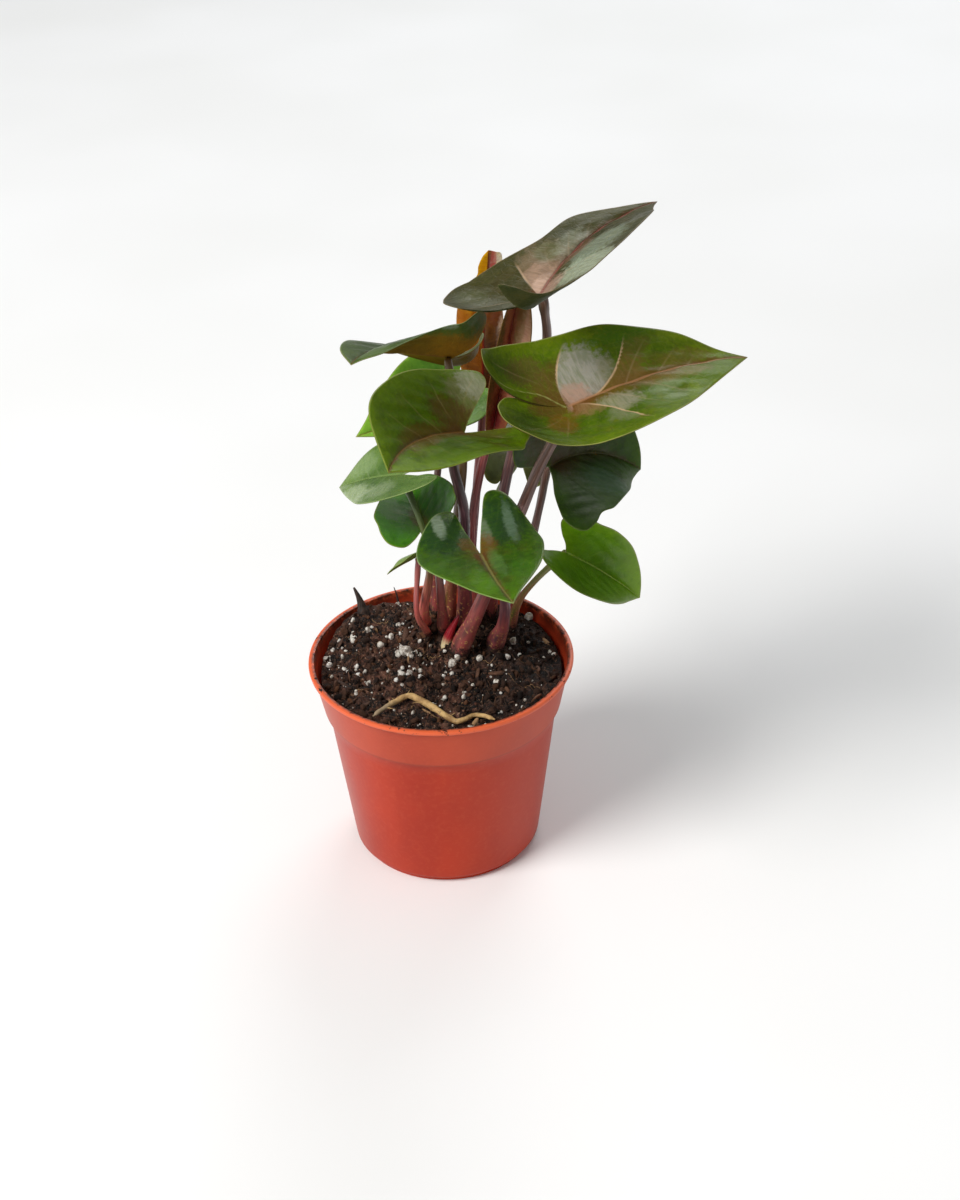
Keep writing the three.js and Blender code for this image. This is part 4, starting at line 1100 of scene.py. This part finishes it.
def bud_finish():
    def surface(wire):
        vector, _, _, share = wire.mark("stem")
        streak = vector.stretch(2, 2, 0.6).clouds(2.2, 3)
        skin = wire.blend("8E1A26", "C8333F", streak.fade(0.35, 0.65))
        skin = skin.coat("E8D3A4", (share + (streak - 0.5) * 0.25).fade(0.36, 0.54, 1, 0))
        skin = skin.coat("5A1420", share.fade(0.85, 1.0) * 0.6)
        return skin, streak.fade(0.3, 0.7, 0.25, 0.42), streak.bump(0.12, 0.5)

    return finish("bud_skin", surface, Coat_Weight=0.3, Coat_Roughness=0.2)


def loose_root(material):
    """A knobbly root that lies on the peat, with a few torn rootlets."""
    path, run = smooth_path([[x, y, soil_height(x, y) + ROOT_LIFT] for x, y in ROOT_PATH], 150)
    share = np.linspace(0, 1, len(path))
    knobs = np.array([noise.noise(Vector((s * run * 0.55, 3.1, 0))) for s in share])
    jogs = np.array([noise.noise(Vector((s * run * 0.9, 8.4, 2))) for s in share])
    path[:, 2] += 0.12 * jogs + 0.15
    belly = 0.75 + 0.45 * np.exp(-((share - 0.45) / 0.28) ** 2)
    radii = ROOT_RADIUS * belly * (1 + 0.28 * knobs) * np.clip(
        np.minimum(share, 1 - share) / 0.03, 0.35, 1)
    shapes = [tube(path, radii, 14)]
    draw = np.random.default_rng(ROOTLETS["seed"])
    for _ in range(ROOTLETS["count"]):
        start = path[int(draw.uniform(0.06, 0.95) * (len(path) - 1))]
        turn, reach = draw.uniform(0, 2 * math.pi), draw.uniform(1.2, 3.4)
        steps = np.linspace(0, 1, 8)[:, None]
        way = np.array([math.cos(turn), math.sin(turn), 0.12])
        hair = start + steps * way * reach + steps ** 2 * [0, 0, -0.25]
        shapes.append(tube(hair, 0.14 - 0.1 * steps[:, 0], 6))
    points, faces, marks = joined(shapes)
    return piece("knobbly_root", points, faces, material, {"stem": marks}, "loose_root")


def root_finish():
    def surface(wire):
        place = wire.place()
        share = wire.mark("stem")[3]
        broad = place.clouds(260, 3)
        rings = place.clouds(1400, 4, 0.65)
        skin = wire.blend("8E6B3F", "C9A56C", broad.fade(0.34, 0.6))
        skin = skin.coat("E0C794", rings.fade(0.56, 0.72) * 0.7)
        skin = skin.coat("5F4630", rings.fade(0.3, 0.44, 0.7, 0))
        skin = skin.coat("8B7C68", (share + (broad - 0.5) * 0.2).fade(0.1, 0.24, 0.8, 0))
        return skin, rings.fade(0.3, 0.7, 0.6, 0.85), (broad + rings * 0.6).bump(0.3, 0.9)

    return finish("dry_root", surface)


# ---------------------------------------------------------------- pot


def pot_profile():
    """The pot's wall from the middle of its underside round the lip to the inner floor."""
    foot_inner, foot, foot_height = POT["foot_inner"], POT["foot"], POT["foot_height"]
    heel, shoulder, rim = POT["heel"], POT["shoulder"], POT["rim"]
    collar_foot, collar_top = POT["collar_foot"], POT["collar_top"]
    top, wall, floor = POT["height"], POT["wall"], POT["floor"]
    lip_foot = top - POT["lip"]
    inner = rim - wall - 0.3

    def straight(low, high):
        """Points up a wall; more of them keep its long faces even."""
        low, high = np.array(low), np.array(high)
        return [list(low + (high - low) * t) for t in np.linspace(0, 1, 12)]

    return [
        [0, 0], [3, 0], [POT["hub"] - 0.1, 0], [POT["hub"], 0.05],
        [POT["hub"] + 0.8, POT["recess"]], [foot_inner - 0.8, POT["recess"]],
        [foot_inner, 0.05], [foot_inner + 0.1, 0], [foot - 0.15, 0], [foot, 0.12],
        [foot + 0.2, foot_height], [heel - 0.35, foot_height + 0.1],
        [heel - 0.1, foot_height + 0.35],
        *straight([heel, foot_height + 0.9], [shoulder, COLLAR_FOOT - 0.3]),
        [shoulder + 0.2, COLLAR_FOOT], [collar_foot - 0.3, COLLAR_FOOT],
        [collar_foot - 0.08, COLLAR_FOOT + 0.12],
        *straight([collar_foot, COLLAR_FOOT + 0.4], [collar_top, lip_foot - 0.3]),
        [collar_top + 0.3, lip_foot - 0.22], [rim - 0.3, lip_foot - 0.05],
        [rim - 0.08, lip_foot + 0.15], [rim, top - 0.6], [rim - 0.03, top - 0.35],
        [rim - 0.12, top - 0.12], [rim - 0.35, top], [inner + 0.3, top],
        [inner + 0.08, top - 0.1], [inner, top - 0.4], [inner - 0.35, top - 4],
        [collar_foot - wall, COLLAR_FOOT + 0.6], [shoulder - wall, COLLAR_FOOT - 0.6],
        [heel - wall, floor + 1.4], [heel - wall - 1.2, floor], [0, floor],
    ]


def drain_cutters():
    """Short upright rods where the drain holes go."""
    mesh = bpy.data.meshes.new("drain_cutters")
    tools = bmesh.new()
    radius, ring = DRAIN["radius"] * MM, DRAIN["ring"]
    for i in range(DRAIN["count"]):
        angle = 2 * math.pi * (i + 0.5) / DRAIN["count"]
        spot = Vector((ring * math.cos(angle), ring * math.sin(angle), 2)) * MM
        bmesh.ops.create_cone(tools, cap_ends=True, segments=36, radius1=radius, radius2=radius,
                              depth=4 * MM, matrix=Matrix.Translation(spot))
    tools.to_mesh(mesh)
    tools.free()
    made = bpy.data.objects.new("drain_cutters", mesh)
    bpy.context.scene.collection.objects.link(made)
    return made


def mark_inner_side(mesh):
    """Mark the points on the inside of the pot, whose wall the finish paints darker."""
    corners = np.zeros(len(mesh.vertices) * 3)
    mesh.vertices.foreach_get("co", corners)
    x, y, z = corners.reshape(-1, 3).T / MM
    heights = [POT["foot_height"], COLLAR_FOOT, COLLAR_FOOT + 0.4, POT["height"] - POT["lip"],
               POT["height"]]
    radii = [POT[key] for key in ("heel", "shoulder", "collar_foot", "collar_top", "rim")]
    inner = np.hypot(x, y) < np.interp(z, heights, radii) - 0.5 * POT["wall"]
    layer = mesh.attributes.new("inner", "FLOAT_VECTOR", "POINT")
    layer.data.foreach_set("vector", np.repeat(inner & (z > 2), 3).astype(np.float32))


def pot(material):
    """The turned pot with drain holes in its floor and crisp steps."""
    points, faces = lathe(pot_profile(), POT_SIDES)
    made = piece("turned_pot", points, faces, material, None, "pot")
    cutters = drain_cutters()
    cut = made.modifiers.new("drain_holes", "BOOLEAN")
    cut.operation = "DIFFERENCE"
    cut.solver = "EXACT"
    cut.object = cutters
    made.data = bpy.data.meshes.new_from_object(
        made.evaluated_get(bpy.context.evaluated_depsgraph_get()))
    made.modifiers.clear()
    bpy.data.objects.remove(cutters)
    mark_inner_side(made.data)
    crease = made.modifiers.new("crisp_steps", "EDGE_SPLIT")
    crease.split_angle = math.radians(CREASE_ANGLE)
    return made


def pot_finish():
    """Satin terracotta-coloured plastic, faintly mottled, with peat dust on its lip, a painted
    highlight on the lip, a painted shadow line at the collar's step and a darker inner wall.
    """
    lip_foot = POT["height"] - POT["lip"]

    def surface(wire):
        place = wire.place()
        height = place.parts()[2] * 1000
        broad = place.stretch(1, 1, 0.5).clouds(38, 3)
        fine = place.clouds(900, 3, 0.6)
        dirt = place.clouds(620, 4, 0.7)
        body = wire.blend("A2280B", "B4310E", broad.fade(0.35, 0.65))
        collar = wire.blend("A83A20", "BC4628", broad.fade(0.35, 0.65))
        skin = wire.mix(body, collar, height.fade(COLLAR_FOOT - 0.2, COLLAR_FOOT + 0.2))
        skin = skin.coat("C4522F", fine.fade(0.45, 0.75) * 0.2)
        # painted shadow: a dark line at the step at the collar's foot
        step = (height - (COLLAR_FOOT + 0.1)).maths("ABSOLUTE").fade(0.1, 0.7, 1, 0)
        skin = skin.coat("7A2A1A", step * 0.4)
        # painted highlight: the lip is lighter where its top catches the light
        skin = skin.coat("E4683E", height.fade(lip_foot - 0.3, lip_foot + 0.6) * 0.85)
        specks = dirt.fade(0.6, 0.66) * height.fade(lip_foot - 1.1, lip_foot + 0.4)
        # the inner wall is painted darker and mottled above the lowest 3 mm
        inner_wall_darkening = wire.mark("inner")[1] * (dirt + 0.25).fade(0.5, 0.8) * height.fade(3, 20)
        skin = skin.coat("2B1A12", (specks + inner_wall_darkening * 0.75).fade(0, 1))
        scuffs = place.stretch(1, 1, 6).clouds(160, 4, 0.7).fade(0.62, 0.78)
        rough = 0.34 + broad.fade(0.3, 0.7, 0, 0.08) + scuffs * 0.12 + specks * 0.4
        return skin, rough, (fine * 0.35 + specks * 2 + scuffs * 0.3).bump(0.1, 0.5)

    return finish("terracotta_plastic", surface, Specular_IOR_Level=0.3,
                  Subsurface_Weight=0.05, Subsurface_Scale=0.002,
                  Subsurface_Radius=(1.0, 0.35, 0.2))


# ---------------------------------------------------------------- peat


def soil_height(x, y):
    """Height of the smooth soil, heaped at the back left and round the stalks."""
    heaps = sum(high * math.exp(-((x - a) ** 2 + (y - b) ** 2) / spread)
                for high, a, b, spread in SOIL_HEAPS)
    ripple = 0.28 * math.sin(0.9 * x + 1.3) * math.sin(0.8 * y) + 0.2 * math.sin(1.7 * y + 0.6 * x)
    dish = 0.00096 * (x * x + y * y)
    return SOIL_LEVEL + heaps + ripple - dish


def from_root(x, y):
    """Distance of a place on the peat from the loose root."""
    ways = ROOT_ENDS - ROOT_STARTS
    along = ((np.array([x, y]) - ROOT_STARTS) * ways).sum(axis=1) / (ways ** 2).sum(axis=1)
    nearest = ROOT_STARTS + ways * np.clip(along, 0, 1)[:, None]
    return np.hypot(*(nearest - [x, y]).T).min()


def lumpy_height(x, y):
    """Height of the peat's own rough surface, banked up a little round each stalk."""
    spot = Vector((x, y, 2.7))
    lumps = sum(noise.noise(spot * scale) * high for scale, high in PEAT_LUMPS)
    lumps += abs(noise.noise(spot * CLOD_WAVES)) - 0.25
    calm = min(1.0, max(0.25, (PEAT_CALM["from"] - math.hypot(x, y)) / PEAT_CALM["over"]))
    bank = 0
    for foot_x, foot_y, foot in FEET:
        wide = foot + STALK_BANK["wider"]
        near = ((x - foot_x) ** 2 + (y - foot_y) ** 2) / wide ** 2
        bank = max(bank, STALK_BANK["high"] * math.exp(-near)) if near < 6 else bank
    groove = 0
    if y < ROOT_BED["back"]:
        groove = math.exp(-(from_root(x, y) / ROOT_BED["half_width"]) ** 2)
    calm *= 1 - 0.7 * groove
    return soil_height(x, y) + lumps * calm + bank - groove - 0.15


def soil(material):
    """The peat's surface and the plug of soil below it."""
    wall, floor = POT["wall"], POT["floor"]
    plug = [
        (POT["heel"] - wall - 1.5, floor + 0.3), (POT["heel"] - wall - 0.3, floor + 1.7),
        (POT["shoulder"] - wall - 0.3, COLLAR_FOOT - 0.4),
        (POT["collar_foot"] - wall - 0.3, COLLAR_FOOT + 0.8),
        (POT["collar_top"] - wall - 1.2, POT["height"] - 6),
    ]
    sectors, rings = SOIL_GRAIN["sectors"], SOIL_GRAIN["rings"]
    surface = [(SOIL_GRAIN["edge"] * ring / rings, 0) for ring in range(rings, -1, -1)]
    points, faces = lathe([(0, plug[0][1]), *plug, *surface], sectors)
    for point in points[1 + len(plug) * sectors:]:
        point[2] = lumpy_height(point[0], point[1])
    return piece("peat", points, faces, material, None, "soil")


def peat_finish():
    def surface(wire):
        place = wire.place()
        broad = place.clouds(170, 3)
        fine = place.clouds(900, 5, 0.7)
        flecks = place.clouds(1700, 3, 0.75)
        clods = place.clouds(430, 4, 0.62)
        skin = wire.blend("0D0705", "452A1F", broad.fade(0.38, 0.6))
        skin = skin.coat("704636", fine.fade(0.5, 0.66) * 0.8)
        skin = skin.coat("7A5444", clods.fade(0.54, 0.64) * 0.6)
        # painted shade: near black in the gaps between the clods
        skin = skin.coat("070302", clods.fade(0.41, 0.5, 0.9, 0))
        skin = skin.coat("B48C70", flecks.fade(0.58, 0.66) * 0.75)
        # painted shade: the peat darkens towards the right side
        skin = skin.coat("0E0806", (place.parts()[0] + (broad - 0.5) * 0.03).fade(*PAINTED_SHADE_SPAN) * 0.6)
        return skin, fine.fade(0.35, 0.65, 0.42, 0.95), (fine + flecks * 0.5).bump(0.9)

    return finish("dark_peat", surface, Specular_IOR_Level=0.3)


def lump(draw, level, rough, squash):
    """One irregular grain of about unit radius: points and triangles."""
    tool = bmesh.new()
    bmesh.ops.create_icosphere(tool, subdivisions=level, radius=1)
    tool.verts.ensure_lookup_table()
    shift = Vector(draw.uniform(-50, 50, 3))
    points = []
    for vertex in tool.verts:
        out = vertex.co.normalized()
        coarse, small = noise.noise(out * 1.1 + shift), noise.noise(out * 2.7 + shift)
        points.append(out * (1 + rough * (coarse + 0.6 * small)))
    faces = np.array([[v.index for v in face.verts] for face in tool.faces])
    tool.free()
    return np.array(points) * squash, faces


def chip(draw, level):
    """One angular grain: a ball of unit radius cut by planes."""
    planes = 11
    ways = draw.normal(size=(planes, 3))
    ways /= np.linalg.norm(ways, axis=1)[:, None]
    cuts = draw.uniform(0.5, 0.95, planes)
    points, faces = lump(draw, level, 0.25, 1)
    sides = points @ ways.T
    shares = np.where(sides > cuts, cuts / np.maximum(sides, 1e-6), 1)
    return points * shares.min(axis=1)[:, None] * 1.2, faces


def turned(draw):
    """A random rotation, as a 3 by 3 array."""
    q = draw.normal(size=4)
    w, x, y, z = q / np.linalg.norm(q)
    return np.array([
        [1 - 2 * (y * y + z * z), 2 * (x * y - z * w), 2 * (x * z + y * w)],
        [2 * (x * y + z * w), 1 - 2 * (x * x + z * z), 2 * (y * z - x * w)],
        [2 * (x * z - y * w), 2 * (y * z + x * w), 1 - 2 * (x * x + y * y)],
    ])


def scattered(draw, shapes, spots, sizes, sink):
    """Copies of the shapes at the spots on the peat, each turned its own way, as one mesh."""
    copies = []
    for (x, y), size in zip(spots, sizes):
        shape, triangles = shapes[int(draw.integers(len(shapes)))]
        own = shape @ turned(draw).T * size + [x, y, lumpy_height(x, y) + size * sink]
        tones = [draw.uniform(0, 1), draw.uniform(0, 1), 0]
        copies.append((own, triangles.tolist(), np.tile(tones, (len(own), 1))))
    return joined(copies)


def strewn(name, material, points, faces, marks):
    """A piece of loose bits on the soil, which keep their tones."""
    return piece(name, points, faces, material, {"tone": marks})


def free_spots(draw, bits):
    """Places on the peat that no stalk stands on."""
    out = []
    while len(out) < bits["count"]:
        radius = bits["reach"] * math.sqrt(draw.uniform())
        angle = draw.uniform(0, 2 * math.pi)
        x, y = radius * math.cos(angle), radius * math.sin(angle)
        off_root = y > ROOT_BED["back"] or from_root(x, y) > ROOT_BED["clear"]
        if off_root and all(math.hypot(x - a, y - b) > r + bits["clear"] for a, b, r in FEET):
            out.append((x, y))
    return out


def peat_crumbs(material):
    """Crumbs of peat all over the surface and heaped round the foot of each stalk."""
    draw = np.random.default_rng(CRUMBS["seed"])
    shapes = [lump(draw, 2, 0.55, [1, draw.uniform(0.5, 0.9), draw.uniform(0.4, 0.8)])
              for _ in range(9)]
    sizes = 0.16 + draw.uniform(size=CRUMBS["count"]) ** 3.4
    loose = scattered(draw, shapes, free_spots(draw, CRUMBS), sizes, 0.15)
    spots = []
    for x, y, foot in FEET:
        for angle in draw.uniform(0, 2 * math.pi, CRUMBS_AT_STALK):
            out = foot + draw.uniform(0.5, 1.5)
            spots.append((x + out * math.cos(angle), y + out * math.sin(angle)))
    spots = [spot for spot in spots
             if all(math.dist(spot, (x, y)) > foot + 0.45 for x, y, foot in FEET)]
    heaped = scattered(draw, shapes, spots, draw.uniform(0.35, 0.75, len(spots)), 0.1)
    return strewn("peat_crumbs", material, *joined([loose, heaped]))


def crumb_finish():
    def surface(wire):
        place = wire.place()
        _, tone, other, _ = wire.mark("tone")
        fine = place.clouds(1100, 4, 0.7)
        skin = wire.blend("0D0705", "4C3224", tone)
        skin = skin.coat("5E3C26", other.fade(0.8, 0.95) * 0.8)
        skin = skin.coat("4A2F20", fine.fade(0.52, 0.7) * 0.7)
        # painted shade: the crumbs darken towards the right side
        skin = skin.coat("0E0806", place.parts()[0].fade(*PAINTED_SHADE_SPAN) * 0.5)
        return skin, fine.fade(0.3, 0.7, 0.78, 1.0), fine.bump(0.5)

    return finish("peat_crumb", surface, Specular_IOR_Level=0.25)


def perlite(material):
    """Puffed white grains with flat broken sides, some in loose groups."""
    draw = np.random.default_rng(SMALL_PERLITE["seed"])
    spots = free_spots(draw, SMALL_PERLITE)
    for x, y in GRAIN_GROUPS:
        spots.extend((x + dx, y + dy) for dx, dy in draw.normal(0, 1.7, (9, 2)))
    sizes = 0.13 + 0.5 * draw.uniform(size=len(spots)) ** 2.6
    small = scattered(draw, [chip(draw, 2) for _ in range(10)], spots, sizes, 0.3)
    spots, sizes = [grain[:2] for grain in PERLITE], [grain[2] for grain in PERLITE]
    large = scattered(draw, [chip(draw, 3) for _ in range(10)], spots, sizes, 0.3)
    return strewn("perlite_grains", material, *joined([small, large]))


def perlite_finish():
    def surface(wire):
        place = wire.place()
        tone = wire.mark("tone")[1]
        pits = place.clouds(2200, 4, 0.7)
        dust = place.clouds(700, 3, 0.6)
        skin = wire.blend("D9D2C6", "F4F1EA", tone)
        skin = skin.coat("7A6858", dust.fade(0.46, 0.62) * 0.8)
        skin = skin.coat("4A3C32", pits.fade(0.32, 0.46, 0.7, 0))
        return skin, pits.fade(0.3, 0.7, 0.75, 0.95), pits.bump(0.4)

    return finish("perlite", surface)


def bark_bits(material):
    """Flat bits of bark."""
    draw = np.random.default_rng(BARK["seed"])
    shapes = [lump(draw, 2, 0.3, [1.5, draw.uniform(0.4, 0.7), draw.uniform(0.2, 0.4)])
              for _ in range(7)]
    spots = free_spots(draw, BARK)
    sizes = 0.35 + 0.95 * draw.uniform(size=BARK["count"]) ** 2
    return strewn("bark_bits", material, *scattered(draw, shapes, spots, sizes, 0.25))


def bark_finish():
    def surface(wire):
        _, tone, other, _ = wire.mark("tone")
        fine = wire.place().stretch(1, 3, 1).clouds(700, 4, 0.65)
        skin = wire.blend("2E1B13", "6A4630", tone)
        skin = skin.coat("B08A60", other.fade(0.85, 0.98) * 0.8)
        skin = skin.coat("2A1810", fine.fade(0.5, 0.7) * 0.7)
        return skin, fine.fade(0.3, 0.7, 0.65, 0.9), fine.bump(0.4, 0.9)

    return finish("bark", surface)


def fibres(material):
    """Hair-thin bits of peat moss and root that curl over the surface."""
    draw = np.random.default_rng(FIBRES["seed"])
    shapes = []
    for x, y in free_spots(draw, FIBRES):
        turn, reach, bow = draw.uniform(0, 6.28), draw.uniform(1, 4.5), draw.uniform(-0.3, 0.3)
        lift, thick = draw.uniform(0.05, 0.6), draw.uniform(0.03, 0.075)
        way = []
        for step in np.linspace(0, 1, 9):
            heading = turn + bow * reach * step
            px = x + reach * step * math.cos(heading)
            py = y + reach * step * math.sin(heading)
            if math.hypot(px, py) > FIBRES["end"]:
                break
            way.append([px, py, lumpy_height(px, py) + 0.15 + lift * 4 * step * (1 - step)])
        if len(way) > 3:
            points, faces, marks = tube(way, np.full(len(way), thick), 5)
            marks[:, 0], marks[:, 1] = draw.uniform(), draw.uniform()
            shapes.append((points, faces, marks))
    return strewn("peat_fibres", material, *joined(shapes))


def fibre_finish():
    def surface(wire):
        tone = wire.mark("tone")[1]
        fine = wire.place().clouds(1300, 3)
        skin = wire.blend("1E120C", "64452E", tone.fade(0.1, 0.9))
        skin = skin.coat("B08C5E", tone.fade(0.86, 1.0) * fine.fade(0.3, 0.6))
        return skin, fine.fade(0.3, 0.7, 0.7, 0.95)

    return finish("peat_fibre", surface)


def spike(material):
    """The dark woody point and the thin splinter that stand at the back left."""
    foot = np.array([*SPIKE["foot"], soil_height(*SPIKE["foot"]) - 1.5])
    tip = np.array(SPIKE["tip"], float)
    path, _ = smooth_path([foot, foot + (tip - foot) * 0.6 + [0.3, 0, 0], tip], 26)
    share = np.linspace(0, 1, len(path))
    rough = np.array([noise.noise(Vector((s * 7, 1.7, 4))) for s in share])
    radii = (0.25 + (SPIKE["radius"] - 0.2) * (1 - share) ** 1.3) * (1 + 0.25 * rough)
    base = np.array([*SPLINTER_FOOT, soil_height(*SPLINTER_FOOT)])
    thin, _ = smooth_path(base + [[0, 0, -1], [-0.3, 0, 2.5], [-0.9, 0.3, 4.6]], 14)
    splinter = tube(thin, np.linspace(0.4, 0.1, len(thin)), 8)
    return strewn("woody_spike", material, *joined([tube(path, radii, 12), splinter]))


def spike_finish():
    def surface(wire):
        grain = wire.place().stretch(3, 3, 0.6).clouds(500, 4, 0.65)
        skin = wire.blend("17100D", "3F2C22", grain.fade(0.36, 0.64))
        skin = skin.coat("7A614A", grain.fade(0.62, 0.74) * 0.5)
        return skin, grain.fade(0.3, 0.7, 0.55, 0.85), grain.bump(0.4)

    return finish("dead_wood", surface)


# ---------------------------------------------------------------- room, light and camera


def floor_finish():
    def surface(wire):
        return [wire.blend("F1F1F0", "F6F6F6", wire.place().clouds(6, 2).fade(0.3, 0.7))]

    return finish("pale_floor", surface, Roughness=0.9)


def studio():
    """A pale floor and soft light from the upper left."""
    scene = bpy.context.scene
    scene.view_settings.view_transform = "Standard"
    world = bpy.data.worlds.new("studio_air")
    world.use_nodes = True
    air = world.node_tree.nodes["Background"]
    air.inputs["Color"].default_value = AIR["colour"]
    air.inputs["Strength"].default_value = AIR["strength"]
    scene.world = world

    floor_mesh = bpy.data.meshes.new("floor")
    corners = [(x * FLOOR_REACH, y * FLOOR_REACH, 0)
               for x, y in ((-1, -1), (1, -1), (1, 1), (-1, 1))]
    floor_mesh.from_pydata(corners, [], [(0, 1, 2, 3)])
    floor = bpy.data.objects.new("floor", floor_mesh)
    scene.collection.objects.link(floor)
    floor_mesh.materials.append(floor_finish())

    for name, place, size, power, colour in LIGHTS:
        lamp = bpy.data.lights.new(name, "AREA")
        lamp.shape = "DISK"
        lamp.size = size
        lamp.energy = power
        lamp.color = colour
        holder = bpy.data.objects.new(name, lamp)
        holder.location = place
        aim = LIGHT_AIM - Vector(place)
        holder.rotation_euler = aim.to_track_quat("-Z", "Y").to_euler()
        scene.collection.objects.link(holder)


def square_to(ahead, hint):
    """Three axes: the third is ahead, the first level with the hint."""
    z = Vector(ahead).normalized()
    x = Vector(hint).cross(z).normalized()
    return Matrix((x, z.cross(x), z)).transposed()


def camera():
    """The view: far enough for gentle perspective, looking down on the leaves."""
    lens = bpy.data.cameras.new("view")
    lens.sensor_width = SENSOR
    lens.lens = SENSOR * VIEW["focal"] / VIEW["tall"]
    lens.clip_start = 0.01
    climb = math.radians(VIEW["climb"])
    back = Vector((0, -math.cos(climb), math.sin(climb)))
    right, down = ((a - b) / VIEW["focal"] for a, b in zip(VIEW["target_at"], VIEW["centre"]))
    seen = square_to((-right, down, 1), (0, 1, 0))
    world = square_to(back, (0, 0, 1))
    holder = bpy.data.objects.new("view", lens)
    place = Vector(VIEW["target"]) + back * VIEW["away"]
    turn = world @ Matrix.Rotation(math.radians(VIEW["roll"]), 3, "Z") @ seen.transposed()
    holder.matrix_world = Matrix.Translation(place * MM) @ turn.to_4x4()
    bpy.context.scene.collection.objects.link(holder)
    bpy.context.scene.camera = holder


# ---------------------------------------------------------------- the plant

camera()
studio()

stalk_finishes = {kind: stalk_finish(kind) for kind in STALK_PAINTS}
for name, leaf in LEAVES.items():
    look = LOOKS[name]
    blade(name, leaf, blade_finish(name))
    stalk(name, leaf, stalk_finishes[look["stalk"]])
pot(pot_finish())
soil(peat_finish())
peat_crumbs(crumb_finish())
perlite(perlite_finish())
bark_bits(bark_finish())
fibres(fibre_finish())
spike(spike_finish())
loose_root(root_finish())
bud(bud_finish())
